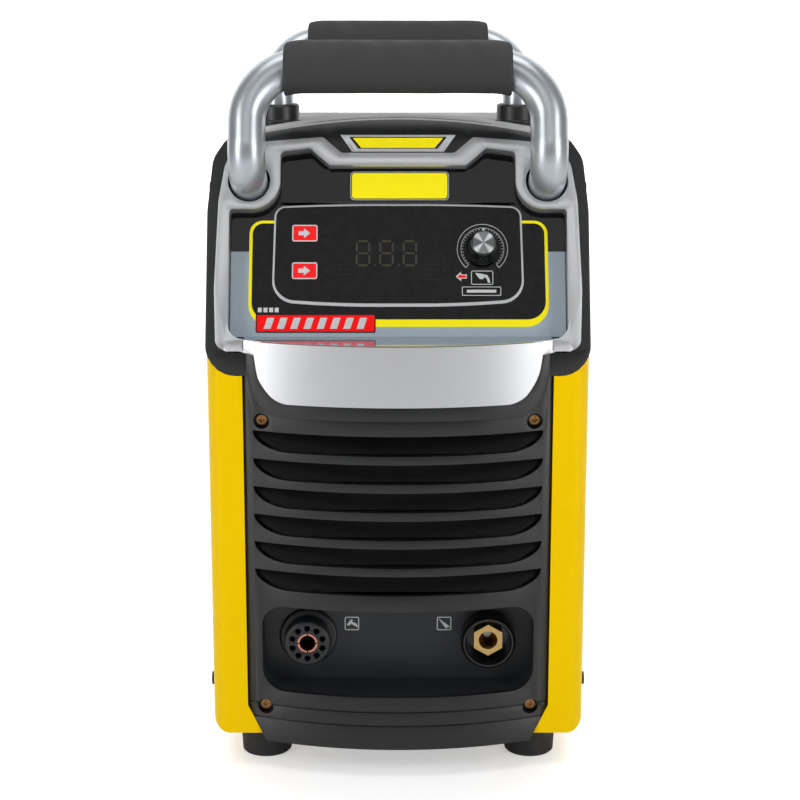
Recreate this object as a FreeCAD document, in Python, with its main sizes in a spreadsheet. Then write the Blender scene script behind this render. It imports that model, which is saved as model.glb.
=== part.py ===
import FreeCAD, Part
import math
import os
import re
import Sketcher

# Plasma cutter unit: an upright inverter in a folded steel case, with a moulded front
# column, a leaning control head, two tube handles, four rubber feet and an air
# regulator on its back.  Millimetres, +Z up, the front faces -Y.  The origin is on the
# floor under the middle of the whole unit.  In this file a depth is measured back from
# the front plane of the steel case, and "up" and "in" on the leaning control head are
# measured along and into its sloping face.

os.makedirs("parts", exist_ok=True)
doc = FreeCAD.newDocument("plasma_cutter")

SIZES = {
    # case
    "body_width": 230, "body_length": 450, "case_bottom": 22, "case_top": 345,
    "steel": 1.5, "case_corner": 10, "bottom_return": 55, "pan_gap": 9,
    "front_reach": 22, "rear_reach": 59, "gap": 0.3,
    # feet
    "foot_radius": 16.8, "foot_spread": 83.6, "foot_inset": 29, "foot_taper": 1.3,
    # front column
    "column_half": 93, "column_radius": 225, "column_bulge": 18, "column_bottom": 18,
    "column_wall": 3.5, "column_chamfer": 11, "column_back": 10, "column_top": 226,
    "louvre_top": 216.5, "louvre_pitch": 17.4, "louvre_height": 12.2, "louvre_half": 87.5,
    "louvre_end": 22, "louvre_count": 6, "rib_place": 50, "rib_width": 3,
    "pocket_half": 83.5, "pocket_bottom": 52, "pocket_top": 107, "pocket_depth": 17,
    "pocket_round": 14, "ear_screw_x": 82, "ear_screw_top": 222.5, "ear_screw_low": 40.5,
    # leaning head
    "head_base": 266, "head_lean": 22, "head_low": 250, "head_back": 112, "head_top": 397,
    "head_wall": 3, "crown_radius": 450, "head_round": 16,
    "hood_corner": 18,
    "frame_thick": 11, "strip_out": 110.3, "strip_in": 101.8, "shoulder_up": 86.2,
    "shoulder_in": 71.2, "frame_top": 131, "frame_dip": 121, "frame_inner_top": 113.3,
    "bib_half": 84.5, "bib_low": 235, "bib_bulge": 22, "bib_rise": 2.4, "bib_border": 5.5,
    "window_low": 5.5,
    "panel_in": 12, "panel_thick": 3, "film": 0.8, "panel_low": 11.5, "panel_high": 91.8,
    "plate_half": 29, "plate_low": 94.4, "plate_high": 110.3, "plate_thick": 1.2,
    # controls
    "button_x": 56.5, "button_half": 7.5, "button_tall": 5, "button_upper": 73.6,
    "button_lower": 50.3, "button_proud": 0.9, "button_travel": 0.6,
    "knob_x": 51.2, "knob_up": 64, "knob_radius": 11, "knob_height": 16.5,
    "cap_radius": 7.1, "shaft_radius": 3, "bush_radius": 4.5, "turn_fit": 0.05,
    "board_in": 21.5, "board_thick": 1.6,
    "display_x": 7, "display_half": 24, "display_low": 49.5, "display_high": 73,
    # handles
    "tube_radius": 11.2, "tube_wall": 2, "leg_x": 90, "leg_out": 24, "bend_radius": 34,
    "elbow_radius": 17, "socket_up": 103.4, "grip_height": 430, "grip_radius": 15.8,
    "grip_length": 136, "rear_leg": 345, "rear_knee": 393, "knee_radius": 24,
    "rear_swing": 24, "collar_radius": 15.6, "collar_height": 14, "top_height": 371, "top_wall": 3,
    "rail_low": 326, "rail_high": 338,
    # connectors
    "connector_x": 56, "connector_z": 79.8, "flange_radius": 18, "socket_radius": 14.3,
    "socket_reach": 12, "pin_ring": 9.7, "pin_hole": 1.9, "contact_radius": 6.2,
    "contact_bore": 5, "torch_radius": 17, "torch_cup": 13.6, "nut_flats": 17.5,
    "torch_bore": 5.8, "torch_pin": 2.7,
    # back of the unit
    "fan_size": 120, "fan_thick": 25, "fan_height": 232, "hub_radius": 19,
    "blade_radius": 55, "fan_bore": 57.5, "blades": 7,
    "back_wall": 4, "back_out": 6, "switch_x": -56, "switch_z": 130, "gland_x": -56,
    "gland_z": 62, "gland_thread": 12.5, "gland_bore": 7, "air_x": 52, "air_z": 115,
    "air_pipe": 6, "air_thread": 8, "air_bore": 5.7,
    # inside
    "shelf_z": 160,
}

sheet = doc.addObject("Spreadsheet::Sheet", "Sizes")
for row, (alias, number) in enumerate(SIZES.items(), 1):
    sheet.set(f"A{row}", alias)
    sheet.set(f"B{row}", str(number))
    sheet.setAlias(f"B{row}", alias)
doc.recompute()

NAMES = re.compile(r"[a-z]+(?:_[a-z]+)*")
FRONT = "((front_reach - rear_reach - body_length) / 2)"
VIEWS = {"up": 0, "front": 90, "back": -90}
nodes = []


# ---------------------------------------------------------------- small helpers
def formula(text):
    """The text with every size named in the sheet written as a sheet reference."""
    def written(word):
        name = word.group()
        return f"Sizes.{name}" if name in SIZES else name
    return NAMES.sub(written, str(text))


def value(text):
    return float(sheet.evalExpression(formula(text)))


def bind(piece, **sizes):
    for name, text in sizes.items():
        piece.setExpression(name.replace("__", "."), formula(text))


def node(piece, label):
    """Marks a finished piece as one that is written out, under its own label."""
    piece.Label = label
    nodes.append(piece)
    return piece


def seat(piece, x, depth, z):
    bind(piece, Placement__Base__x=x, Placement__Base__y=f"{FRONT} + ({depth})", Placement__Base__z=z)


def sloping(inward, up):
    """Depth and height of a point of the leaning head, given in and up its face."""
    depth = f"(({inward}) * cos(head_lean) + ({up}) * sin(head_lean))"
    z = f"(head_base - ({inward}) * sin(head_lean) + ({up}) * cos(head_lean))"
    return depth, z


def turn(piece, degrees, axis=(1, 0, 0)):
    piece.Placement = FreeCAD.Placement(FreeCAD.Vector(), FreeCAD.Rotation(FreeCAD.Vector(*axis), degrees))


def box(x, depth, z):
    """A box between two values on each axis."""
    piece = doc.addObject("Part::Box", "Block")
    bind(piece, Length=f"({x[1]}) - ({x[0]})", Width=f"({depth[1]}) - ({depth[0]})",
         Height=f"({z[1]}) - ({z[0]})")
    seat(piece, x[0], depth[0], z[0])
    return piece


def leaning_box(x, inward, up):
    """A box square to the leaning face."""
    piece = doc.addObject("Part::Box", "LeaningBlock")
    bind(piece, Length=f"({x[1]}) - ({x[0]})", Width=f"({inward[1]}) - ({inward[0]})",
         Height=f"({up[1]}) - ({up[0]})")
    turn(piece, -value("head_lean"))
    depth, z = sloping(inward[0], up[0])
    seat(piece, x[0], depth, z)
    return piece


def rod(x, depth, z, radius, length, view="up"):
    """A cylinder that starts at a point and runs up, forward or back."""
    piece = doc.addObject("Part::Cylinder", "Rod")
    bind(piece, Radius=radius, Height=length)
    turn(piece, VIEWS[view])
    seat(piece, x, depth, z)
    return piece


def leaning_rod(x, inward, up, radius, length):
    """A cylinder that starts inside the head and comes straight out of its face."""
    piece = doc.addObject("Part::Cylinder", "LeaningRod")
    bind(piece, Radius=radius, Height=length)
    turn(piece, 90 - value("head_lean"))
    depth, z = sloping(inward, up)
    seat(piece, x, depth, z)
    return piece


def prism(x, depth, z, flats, length, view="up", corners=6, twist=0):
    """A regular prism, such as a nut, by its width across flats."""
    piece = doc.addObject("Part::Prism", "Prism")
    piece.Polygon = corners
    bind(piece, Circumradius=f"({flats}) / 2 / cos(180 / {corners})", Height=length)
    about_itself = FreeCAD.Rotation(FreeCAD.Vector(0, 0, 1), twist)
    facing = FreeCAD.Rotation(FreeCAD.Vector(1, 0, 0), VIEWS[view])
    piece.Placement = FreeCAD.Placement(FreeCAD.Vector(), facing * about_itself)
    seat(piece, x, depth, z)
    return piece


def fuse(*pieces):
    joined = doc.addObject("Part::MultiFuse", "Joined")
    joined.Shapes = list(pieces)
    return joined


def cut(base, *tools):
    result = doc.addObject("Part::Cut", "Cut")
    result.Base = base
    result.Tool = tools[0] if len(tools) == 1 else fuse(*tools)
    return result


def common(first, second):
    result = doc.addObject("Part::Common", "Common")
    result.Base = first
    result.Tool = second
    return result


def group(*pieces):
    """Separate solids that share one node."""
    together = doc.addObject("Part::Compound", "Group")
    together.Links = list(pieces)
    return together


def mirrored(piece):
    other = doc.addObject("Part::Mirroring", "Mirrored")
    other.Source = piece
    other.Normal = (1, 0, 0)
    return other


def edge_along(axis, **places):
    """A test for straight edges along an axis that lie at the given places."""
    def chosen(edge):
        if not isinstance(edge.Curve, Part.Line):
            return False
        if abs(abs(getattr(edge.Curve.Direction, axis)) - 1) > 1e-6:
            return False
        middle = edge.CenterOfMass
        for name, text in places.items():
            wanted = [value(each) for each in (text if isinstance(text, tuple) else (text,))]
            if min(abs(getattr(middle, name) - each) for each in wanted) > 0.05:
                return False
        return True
    return chosen


def rounded(base, radius, *tests):
    doc.recompute()
    piece = doc.addObject("Part::Fillet", "Rounded")
    piece.Base = base
    size = value(radius)
    edges = [n for n, edge in enumerate(base.Shape.Edges, 1) if any(test(edge) for test in tests)]
    piece.Edges = [(n, size, size) for n in edges]
    return piece


def sketched(plane, outline):
    """A body with a closed sketch whose corners are bound to the sheet."""
    body = doc.addObject("PartDesign::Body", "Body")
    sketch = body.newObject("Sketcher::SketchObject", "Outline")
    origin_plane = [each for each in body.Origin.OriginFeatures if each.Role == plane][0]
    sketch.AttachmentSupport = (origin_plane, "")
    sketch.MapMode = "FlatFace"
    corners = [FreeCAD.Vector(value(across), value(along), 0) for across, along in outline]
    for here, there in zip(corners, corners[1:] + corners[:1]):
        sketch.addGeometry(Part.LineSegment(here, there))
    for number, (across, along) in enumerate(outline):
        following = (number + 1) % len(outline)
        sketch.addConstraint(Sketcher.Constraint("Coincident", number, 2, following, 1))
        for kind, text, place in (("DistanceX", across, corners[number].x),
                                  ("DistanceY", along, corners[number].y)):
            index = sketch.addConstraint(Sketcher.Constraint(kind, -1, 1, number, 1, place))
            sketch.setExpression(f"Constraints[{index}]", formula(text))
    return body, sketch


def padded(plane, outline, length, both_ways=False, backwards=False):
    body, sketch = sketched(plane, outline)
    pad = body.newObject("PartDesign::Pad", "Pad")
    pad.Profile = sketch
    bind(pad, Length=length)
    pad.Midplane = both_ways
    pad.Reversed = backwards
    return body


def turned(outline, x, depth, z, degrees=0):
    """A turned piece from half its section, as (radius, height) corners."""
    body, sketch = sketched("XZ_Plane", outline)
    revolution = body.newObject("PartDesign::Revolution", "Revolution")
    revolution.Profile = sketch
    revolution.ReferenceAxis = (sketch, ["V_Axis"])
    revolution.Angle = 360
    turn(body, degrees)
    seat(body, x, depth, z)
    return body


def leaning_turned(outline, x, inward, up):
    """A turned piece that stands square on the leaning face."""
    depth, z = sloping(inward, up)
    return turned(outline, x, depth, z, 90 - value("head_lean"))


def both_sides(piece):
    return group(piece, mirrored(piece))


def shape_node(label, shape):
    """A piece whose shape Part's own functions make, from the sheet's sizes."""
    piece = doc.addObject("Part::Feature", label)
    piece.Shape = shape
    return node(piece, label)


def leaning_plate(outline, inward, thick):
    """A plate square to the leaning face from its outline, as (x, up) corners."""
    body = padded("XZ_Plane", outline, thick, backwards=True)
    turn(body, -value("head_lean"))
    depth, z = sloping(inward, "0")
    seat(body, "0", depth, z)
    return body


def front_plate(outline, depth, thick):
    """An upright plate from its outline, as (x, z) corners, running back from a depth."""
    body = padded("XZ_Plane", outline, thick, backwards=True)
    seat(body, "0", depth, "0")
    return body


def symmetric(corners):
    """A closed outline from the corners of its right half, listed from bottom to top."""
    return list(corners) + [(f"-({x})", along) for x, along in reversed(corners)]


def eased(corners, steps=7):
    """An outline with a radius worked into each corner that has one."""
    points = [FreeCAD.Vector(value(x), value(z), 0) for x, z, radius in corners]
    outline = []
    for index, (x, z, radius) in enumerate(corners):
        if not radius:
            outline.append((x, z))
            continue
        corner = points[index]
        back = (points[index - 1] - corner).normalize()
        ahead = (points[(index + 1) % len(points)] - corner).normalize()
        half = back.getAngle(ahead) / 2
        centre = corner + (back + ahead).normalize() * (radius / math.sin(half))
        first = corner + back * (radius / math.tan(half)) - centre
        last = corner + ahead * (radius / math.tan(half)) - centre
        for step in range(steps + 1):
            spot = centre + (first * (steps - step) + last * step).normalize() * radius
            outline.append((f"{spot.x:.4f}", f"{spot.y:.4f}"))
    return outline


def drum(radius, bulge):
    """An upright cylinder whose front stands out from the case by the bulge."""
    return rod("0", f"({radius}) - ({bulge})", "0", radius, "head_top")


def screw(x, depth, z, head, tall, shank, length, view):
    """A cross-slotted pan-head screw; the point is the underside of its head."""
    across = {"front": ("0", "-1", "0"), "back": ("0", "1", "0"), "up": ("0", "0", "1")}[view]
    start = [f"({at}) - ({way}) * ({length})" for at, way in zip((x, depth, z), across)]
    shaft = rod(*start, shank, length, view)
    cap = rod(x, depth, z, head, tall, view)
    return cut(fuse(cap, shaft), *cross_slots(x, depth, z, head, tall, view))


def cross_slots(x, depth, z, head, tall, view):
    """The two crossed slots of a screw driven from the front or the back."""
    way = -1 if view == "front" else 1
    reach = sorted((f"({depth}) + {way} * ({tall}) / 2", f"({depth}) + {way} * ({tall}) * 2"),
                   key=value)
    wide, thin = f"({head}) * 0.6", f"({head}) * 0.14"
    level = box((f"({x}) - {wide}", f"({x}) + {wide}"), reach,
                (f"({z}) - {thin}", f"({z}) + {thin}"))
    upright = box((f"({x}) - {thin}", f"({x}) + {thin}"), reach,
                  (f"({z}) - {wide}", f"({z}) + {wide}"))
    return level, upright


# ------------------------------------------------------------------- steel case
CASE_SIDE = "-body_width / 2"
CASE_INNER_EDGE = "-body_width / 2 + bottom_return"
CASE_BACK = FRONT + " + body_length"


def side_panels():
    """Two folded panels: each wraps round the front, the back and under the bottom."""
    outer = rounded(
        box((CASE_SIDE, CASE_INNER_EDGE), ("0", "body_length"), ("case_bottom", "case_top")),
        "case_corner",
        edge_along("z", x=CASE_SIDE, y=(FRONT, CASE_BACK)),
        edge_along("y", x=CASE_SIDE, z="case_bottom"))
    inside = f"{CASE_SIDE} + steel"
    hollow = rounded(
        box((inside, "0"), ("steel", "body_length - steel"),
            ("case_bottom + steel", "case_top + 5")),
        "case_corner - steel",
        edge_along("z", x=inside, y=(f"{FRONT} + steel", f"{CASE_BACK} - steel")),
        edge_along("y", x=inside, z="case_bottom + steel"))
    edge = "-column_half - gap"
    opening = [(edge, "case_top + 5"), (edge, "column_bottom + 2 * column_chamfer"),
               (f"{edge} + column_chamfer", "column_bottom"), ("0", "column_bottom"),
               ("0", "case_top + 5")]
    front_opening = front_plate(opening, "-1", "column_back + gap + 1")
    back_opening = front_plate(opening, "body_length - column_back - gap", "column_back + 1")
    left = cut(outer, hollow, front_opening, back_opening, hood_mouth("gap"))
    node(left, "side_panel_left")
    node(mirrored(left), "side_panel_right")


def base_pan():
    """The folded steel tray that everything stands on."""
    side = "body_width / 2 - steel"
    low = "case_bottom + steel"
    ends = ("pocket_depth + pan_gap", "body_length - pocket_depth - pan_gap")
    outer = rounded(
        box((f"-({side})", side), ends, (low, "case_bottom + 43")),
        "case_corner - steel",
        edge_along("y", z=low))
    inner = rounded(
        box((f"-({side}) + steel", f"{side} - steel"),
            (f"{ends[0]} + steel", f"{ends[1]} - steel"),
            (f"{low} + steel", "case_bottom + 50")),
        "case_corner - 2 * steel",
        edge_along("y", z=f"{low} + steel"))
    node(cut(outer, inner), "base_pan")


def feet():
    """Four rubber feet, dished underneath."""
    tall = "case_bottom"
    outline = [("0", "6"), ("5", "6"), ("5", "0"), ("foot_radius - foot_taper - 1", "0"),
               ("foot_radius - foot_taper", "1"), ("foot_radius", tall), ("0", tall)]
    depths = ("foot_inset", "body_length - foot_inset")
    pads = [turned(outline, "foot_spread", depth, "0") for depth in depths]
    node(both_sides(group(*pads)), "rubber_feet")


# ----------------------------------------------------------------- front column
def column_outline(inset):
    half = f"column_half - ({inset})"
    low = f"column_bottom + ({inset})"
    return symmetric([(f"{half} - column_chamfer", low), (half, f"{low} + 2 * column_chamfer"),
                      (half, f"head_low - gap - ({inset})")])


def louvre_slots():
    """Long slots with straight tops and ends that curve down into their bottoms."""
    half, end, tall = value("louvre_half"), value("louvre_end"), value("louvre_height")
    slots = []
    for number in range(int(value("louvre_count"))):
        top = value("louvre_top") - number * value("louvre_pitch")
        flat = half - end
        corners = []
        for side in (1, -1):
            centre = FreeCAD.Vector(side * flat, 0, top)
            along = FreeCAD.Vector(side * half, 0, top)
            below = FreeCAD.Vector(side * flat, 0, top - tall)
            ellipse = Part.Ellipse(along, below, centre)
            corners.append(Part.Arc(ellipse, 0, math.pi / 2).toShape())
        right, left = corners
        tip = [FreeCAD.Vector(side * half, 0, top) for side in (1, -1)]
        low = [FreeCAD.Vector(side * flat, 0, top - tall) for side in (1, -1)]
        wire = Part.Wire(Part.__sortEdges__([Part.makeLine(tip[1], tip[0]), right,
                                             Part.makeLine(low[0], low[1]), left]))
        slots.append(Part.Face(wire).extrude(FreeCAD.Vector(0, 30, 0)))
    tool = doc.addObject("Part::Feature", "LouvreSlots")
    tool.Shape = Part.makeCompound(slots)
    tool.Placement = FreeCAD.Placement(FreeCAD.Vector(0, value(FRONT) - 25, 0), FreeCAD.Rotation())
    return tool


def ear_places():
    return [(x, z) for x in ("ear_screw_x", "-ear_screw_x") for z in ("ear_screw_top", "ear_screw_low")]


def front_column():
    """The moulded lower front: bowed face, six louvre slots, ribs behind them, pocket."""
    reach = "column_bulge + 5"
    outer = common(front_plate(column_outline("0"), f"-({reach})", f"{reach} + column_back"),
                   drum("column_radius", "column_bulge"))
    inner = common(front_plate(column_outline("column_wall"), f"-({reach})",
                               f"{reach} + column_back + 1"),
                   drum("column_radius - column_wall", "column_bulge - column_wall"))
    bosses = [rod(x, "column_back", z, "7", "column_back", "front") for x, z in ear_places()]
    ribs = [box((f"{side} - rib_width / 2", f"{side} + rib_width / 2"), ("-11", "-5"),
                ("pocket_top + 4", "louvre_top + 3")) for side in ("rib_place", "-rib_place")]
    room = front_plate(column_outline("0"), f"-({reach})", f"{reach} + column_back")
    kept = common(fuse(*bosses, *ribs), room)
    body = fuse(cut(outer, inner), kept)
    sunk = [rod(x, "4", z, "4.8", "20", "front") for x, z in ear_places()]
    bores = [rod(x, "column_back + 1", z, "2.2", "20", "front") for x, z in ear_places()]
    wide = ("-column_half - 1", "column_half + 1")
    seams = [cut(box(wide, (f"-({reach})", "column_back"), (low, f"{low} + 1")),
                 drum("column_radius - 1", "column_bulge - 1")) for low in ("33", "42")]
    pocket = pocket_block("0", f"-({reach})", "column_back + 1")
    tongue_room = front_plate(tongue_outline("gap"), f"-({reach})", f"{reach} + column_back + 1")
    node(cut(body, louvre_slots(), pocket, tongue_room, *sunk, *bores, *seams), "front_column")


def pocket_block(grow, start, end):
    """The rounded block of the connector pocket, grown all round by a wall."""
    half = f"pocket_half + ({grow})"
    low, high = f"pocket_bottom - ({grow})", f"pocket_top + ({grow})"
    return rounded(box((f"-({half})", half), (start, end), (low, high)), f"pocket_round + ({grow})",
                   edge_along("y", x=(half, f"-({half})")))


def connector_tray():
    """The moulded pocket that the two sockets sit in."""
    outer = common(pocket_block("2.5", "-20", "pocket_depth + 2.5"),
                   drum("column_radius - column_wall", "column_bulge - column_wall"))
    holes = [rod(x, "pocket_depth + 5", "connector_z", "socket_radius + gap", "10", "front")
             for x in ("connector_x", "-connector_x")]
    node(cut(outer, pocket_block("0", "-25", "pocket_depth"), *holes), "connector_tray")


def work_socket():
    """The work-clamp socket: flange, insulating body with ten holes, split copper contact."""
    x, z = "-connector_x", "connector_z"
    face = "pocket_depth - 3 - socket_reach"
    length = "socket_reach + 30"
    shell = [("contact_radius", "0"), ("socket_radius", "0"), ("socket_radius", "27"),
             ("flange_radius", "27"), ("flange_radius", "29"), ("flange_radius - 1", "30"),
             ("socket_radius", "30"), ("socket_radius", f"{length} - 1"),
             ("socket_radius - 1", length), ("contact_radius", length)]
    body = turned(shell, x, f"{face} + {length}", z, 90)
    pins = []
    for number in range(10):
        angle = math.radians(90 + 36 * number)
        pins.append(rod(f"{x} + pin_ring * {math.cos(angle):.5f}", f"{face} + 8",
                        f"{z} + pin_ring * {math.sin(angle):.5f}", "pin_hole", "10", "front"))
    node(cut(body, *pins), "work_socket_body")
    tube = [("contact_bore", "0"), ("contact_radius", "0"), ("contact_radius", f"{length} + 8"),
            ("contact_bore", f"{length} + 8")]
    contact = turned(tube, x, f"{face} + {length} + 9", z, 90)
    slit = "0.4"
    slot = (f"{face} - 1", f"{face} + 9")
    level = box((f"{x} - 10", f"{x} + 10"), slot, (f"{z} - {slit}", f"{z} + {slit}"))
    upright = box((f"{x} - {slit}", f"{x} + {slit}"), slot, (f"{z} - 10", f"{z} + 10"))
    node(cut(contact, level, upright), "work_socket_contact")
    nut = prism(x, "pocket_depth + 2.5", z, "36", "4", "back")
    gland = prism("gland_x", "body_length + back_out - back_wall", "gland_z", "2 * gland_thread + 6",
                  "4", "front")
    bores = [rod(x, "pocket_depth", z, "socket_radius", "20", "back"),
             rod("gland_x", "body_length + back_out", "gland_z", "gland_thread - 0.1", "40", "front")]
    node(group(cut(nut, bores[0]), cut(gland, bores[1])), "panel_nuts")


def torch_fitting():
    """The torch outlet: a cupped bushing, a brass hexagon and the pin deep in its bore."""
    x, z = "connector_x", "connector_z"
    cup = [("nut_flats / 2", "0"), ("socket_radius", "0"), ("socket_radius", "18"), ("torch_radius", "18"),
           ("torch_radius", "30"), ("torch_radius - 1.5", "32"), ("torch_cup + 0.8", "32"),
           ("torch_cup", "31"), ("torch_cup", "20"), ("nut_flats / 2", "20")]
    node(turned(cup, x, "pocket_depth + 18", z, 90), "torch_bushing")
    barrel = rod(x, "pocket_depth - 2", z, "nut_flats / 2", "34", "back")
    nut = prism(x, "pocket_depth - 2", z, "nut_flats", "6.5", "front", twist=30)
    bore = rod(x, "pocket_depth + 20", z, "torch_bore", "40", "front")
    pin = rod(x, "pocket_depth + 25", z, "torch_pin", "16", "front")
    node(fuse(cut(fuse(barrel, nut), bore), pin), "torch_connector")


def column_screws():
    heads = [screw(x, "4", z, "3.4", "2.2", "2", "12", "front") for x, z in ear_places()]
    node(group(*heads), "column_screws")


# ----------------------------------------------------------------- leaning head
def head_block(wall):
    """The hood's outside, or its hollow when a wall is given."""
    face_up = "frame_top - 2"
    foot = f"head_low - ({wall})"
    low_front = (f"({wall})", foot)
    slope_low = (f"({wall})", f"head_base - 0.2 * ({wall})")
    back = f"head_back + ({wall})"
    profile = [low_front, slope_low, sloping(wall, face_up),
               (f"head_back - 52 + 0.5 * ({wall})", "head_top"),
               (f"head_back - 12 - 0.6 * ({wall})", "head_top"), (f"{back} - 1.6 * ({wall})", "top_height"),
               (back, "top_height"), (back, foot)]
    if value(wall) == 0:
        profile.remove((back, "top_height"))
    half = f"body_width / 2 - ({wall})"
    side = padded("YZ_Plane", profile, f"2 * ({half})", both_ways=True)
    seat(side, "0", "0", "0")
    top = f"head_top + 5 - ({wall})"
    closed = f"head_low + ({wall})"
    corner = value(f"hood_corner - ({wall})")
    outline = symmetric(eased([("0", closed, 0), (half, closed, corner), (half, "case_top", 0),
                               (f"{half} - 3", "top_height + 4", 0), (f"{half} - 22", top, 0)])[1:])
    face = front_plate(outline, "-10", "head_back + 20")
    shoulders = rounded(face, "head_round", edge_along("y", z=("top_height + 4",)))
    return common(common(side, shoulders), crown(wall))


def hood_mouth(grow):
    """The room that the hood takes from the case, with its two rounded lower corners."""
    half, foot = f"body_width / 2 + ({grow})", f"head_low - ({grow})"
    outline = symmetric(eased([("0", foot, 0), (half, foot, value(f"hood_corner + ({grow})")),
                               (half, "case_top + 5", 0)])[1:])
    return front_plate(outline, "-1", "head_back + gap + 1")


def crown(wall):
    """The level cylinder that gives the hood its slightly arched top."""
    return rod("0", "-20", "head_top - crown_radius", f"crown_radius - ({wall})", "head_back + 50", "back")


def frame_outer():
    """The outside of the silver frame: slim sides, cut shoulders and a dip in its top."""
    corners = [("101", "-2", 0), ("109", "2", 6), ("strip_out", "36", 60),
               ("strip_out - 2", "91.6", 60), ("strip_out - 6", "116", 16),
               ("strip_out - 17", "frame_top - 4", 10), ("45.5", "frame_top", 4),
               ("34.2", "frame_dip", 4), ("0", "frame_dip", 0)]
    return symmetric(eased(corners)[:-1])


def frame_window():
    """The opening inside the silver frame, with its two stepped shoulders."""
    corners = [("strip_in", "-5", 0), ("strip_in", "shoulder_up", 2.5),
               ("shoulder_in", "shoulder_up", 17.5), ("shoulder_in", "frame_top - 9.2", 3),
               ("53.4", "frame_top - 7", 2.5), ("41.1", "frame_inner_top", 3),
               ("0", "frame_inner_top", 0)]
    return symmetric(eased(corners)[:-1])


def bowed_band(outline, bulge, wall):
    """An upright band that follows the bowed front."""
    reach = f"({bulge}) + 5"
    radius = f"column_radius + ({bulge}) - column_bulge"
    block = front_plate(outline, f"-({reach})", f"{reach} + 3")
    return cut(common(block, drum(radius, bulge)), drum(f"{radius} - ({wall})", f"({bulge}) - ({wall})"))


def head_bezel():
    """The black hood over the top of the front, with a tongue that runs under the bib."""
    mouth = "body_width / 2 - hood_corner"
    floor = box((f"-({mouth})", mouth), ("head_wall", "head_back + 1"),
                ("head_low - 1", "head_low + head_wall + 1"))
    shell = cut(head_block("0"), head_block("head_wall"), floor)
    opening = leaning_plate(frame_outer(), "-8", "40")
    under_bib = box(("-bib_half - 4", "bib_half + 4"), ("-8", "8"), ("head_low - 5", "head_base + 3"))
    tongue = bowed_band(tongue_outline("0"), "bib_bulge - 1.5", "3")
    slot = box(("-58", "58"), ("head_back - 40", "head_back - 37"), ("head_top - 8", "head_top + 5"))
    groove = cut(slot, crown("2"))
    clear = cut(fuse(cut(shell, opening, under_bib, groove), tongue), bib_block())
    node(fuse(clear, panel_sill()), "head_bezel")


def tongue_outline(grow):
    """The curved tongue of the hood that runs down under the bib."""
    side = f"bib_half + 6 + ({grow})"
    low = f"column_top + gap - ({grow})"
    corners = [("0", low, 0), (f"77 + ({grow})", low, 12), (f"86 + ({grow})", "column_top + 11", 14),
               (side, "head_low + 2", 0), (side, "head_base - 2", 0)]
    return symmetric(eased(corners)[1:])


def panel_sill():
    """The level ledge from the top of the bib back to the foot of the panel."""
    half = "strip_in - 9"
    block = box((f"-({half})", half), ("-bib_bulge", "14.5"), ("head_base - 6", "head_base + window_low - 1"))
    inside = "bib_bulge - bib_rise - 2"
    return common(block, drum(f"column_radius - column_bulge + {inside}", inside))


def bib_outline():
    """The bib: cut lower corners, and ears at the top that meet the frame's sides."""
    corners = [("0", "bib_low", 0), ("bib_half - 12.5", "bib_low", 16),
               ("bib_half - 2", "bib_low + 11", 20), ("bib_half + 2", "head_base - 3", 0),
               ("99", "head_base - 1", 0), ("99", "head_base + window_low", 0)]
    return symmetric(eased(corners)[1:])


def bib_block():
    return front_plate(bib_outline(), "-30", "40")


def raised_bib_outline():
    """The outline of the bib's raised face, inside its sloping border."""
    half, low = "bib_half + 2 - bib_border", "bib_low + bib_border"
    corners = [("0", low, 0), ("bib_half - 14 - 0.5 * bib_border", low, 12),
               (f"{half} - 4", "bib_low + 11 + 0.5 * bib_border", 16), (half, "head_base - 3", 0),
               (half, "head_base + window_low", 0)]
    return symmetric(eased(corners)[1:])


def head_frame():
    """The silver frame round the panel, with the bowed bib below it."""
    ring = cut(leaning_plate(frame_outer(), "0", "frame_thick"),
               leaning_plate(frame_window(), "-5", "frame_thick + 20"))
    bib = fuse(bowed_band(bib_outline(), "bib_bulge - bib_rise", "2"),
               bowed_band(raised_bib_outline(), "bib_bulge", "bib_rise + 2"))
    shoulders = box(("93", "strip_in + 1.2"), ("-1", "6"), ("head_base - 1", "head_base + window_low"))
    sockets = [leaning_rod(x, "30", "socket_up", "tube_radius + 1.6", "60") for x in ("leg_x", "-leg_x")]
    node(cut(fuse(ring, bib, both_sides(shoulders)), *sockets), "head_frame")


def panel():
    """The flat control panel with its glossy film, and the nameplate board above."""
    half = "strip_in - gap"
    wide, tall = (f"-({half})", half), ("panel_low", "panel_high")
    plate = leaning_box(wide, ("panel_in", "panel_in + panel_thick"), tall)
    film = leaning_box(wide, ("panel_in - film", "panel_in"), tall)
    holes = panel_holes()
    node(cut(plate, holes, display_window("panel_in - 1", "30")), "control_panel")
    node(cut(film, holes), "panel_film")
    board = leaning_box(("-shoulder_in + gap", "shoulder_in - gap"), ("8", "11"),
                        ("panel_high + gap", "frame_inner_top - gap"))
    node(board, "nameplate_board")


def display_window(inward, thick):
    return leaning_box(("-display_x - display_half", "-display_x + display_half"),
                       (inward, f"({inward}) + ({thick})"), ("display_low", "display_high"))


def button_ups():
    return {"upper": "button_upper", "lower": "button_lower"}


def panel_holes():
    """The holes for the two buttons and the knob's bush."""
    holes = []
    for up in button_ups().values():
        holes.append(leaning_box(("-button_x - button_half - gap", "-button_x + button_half + gap"),
                                 ("0", "30"),
                                 (f"{up} - button_tall - gap", f"{up} + button_tall + gap")))
    holes.append(leaning_rod("knob_x", "30", "knob_up", "bush_radius + 0.1", "40"))
    return fuse(*holes)


def buttons():
    """Two push buttons that slide straight into the face."""
    tip = "panel_in - film - button_proud"
    back = "panel_in + panel_thick + 1"
    for name, up in button_ups().items():
        cap = leaning_box(("-button_x - button_half", "-button_x + button_half"), (tip, back),
                          (f"{up} - button_tall", f"{up} + button_tall"))
        node(cap, f"button_{name}")


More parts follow.
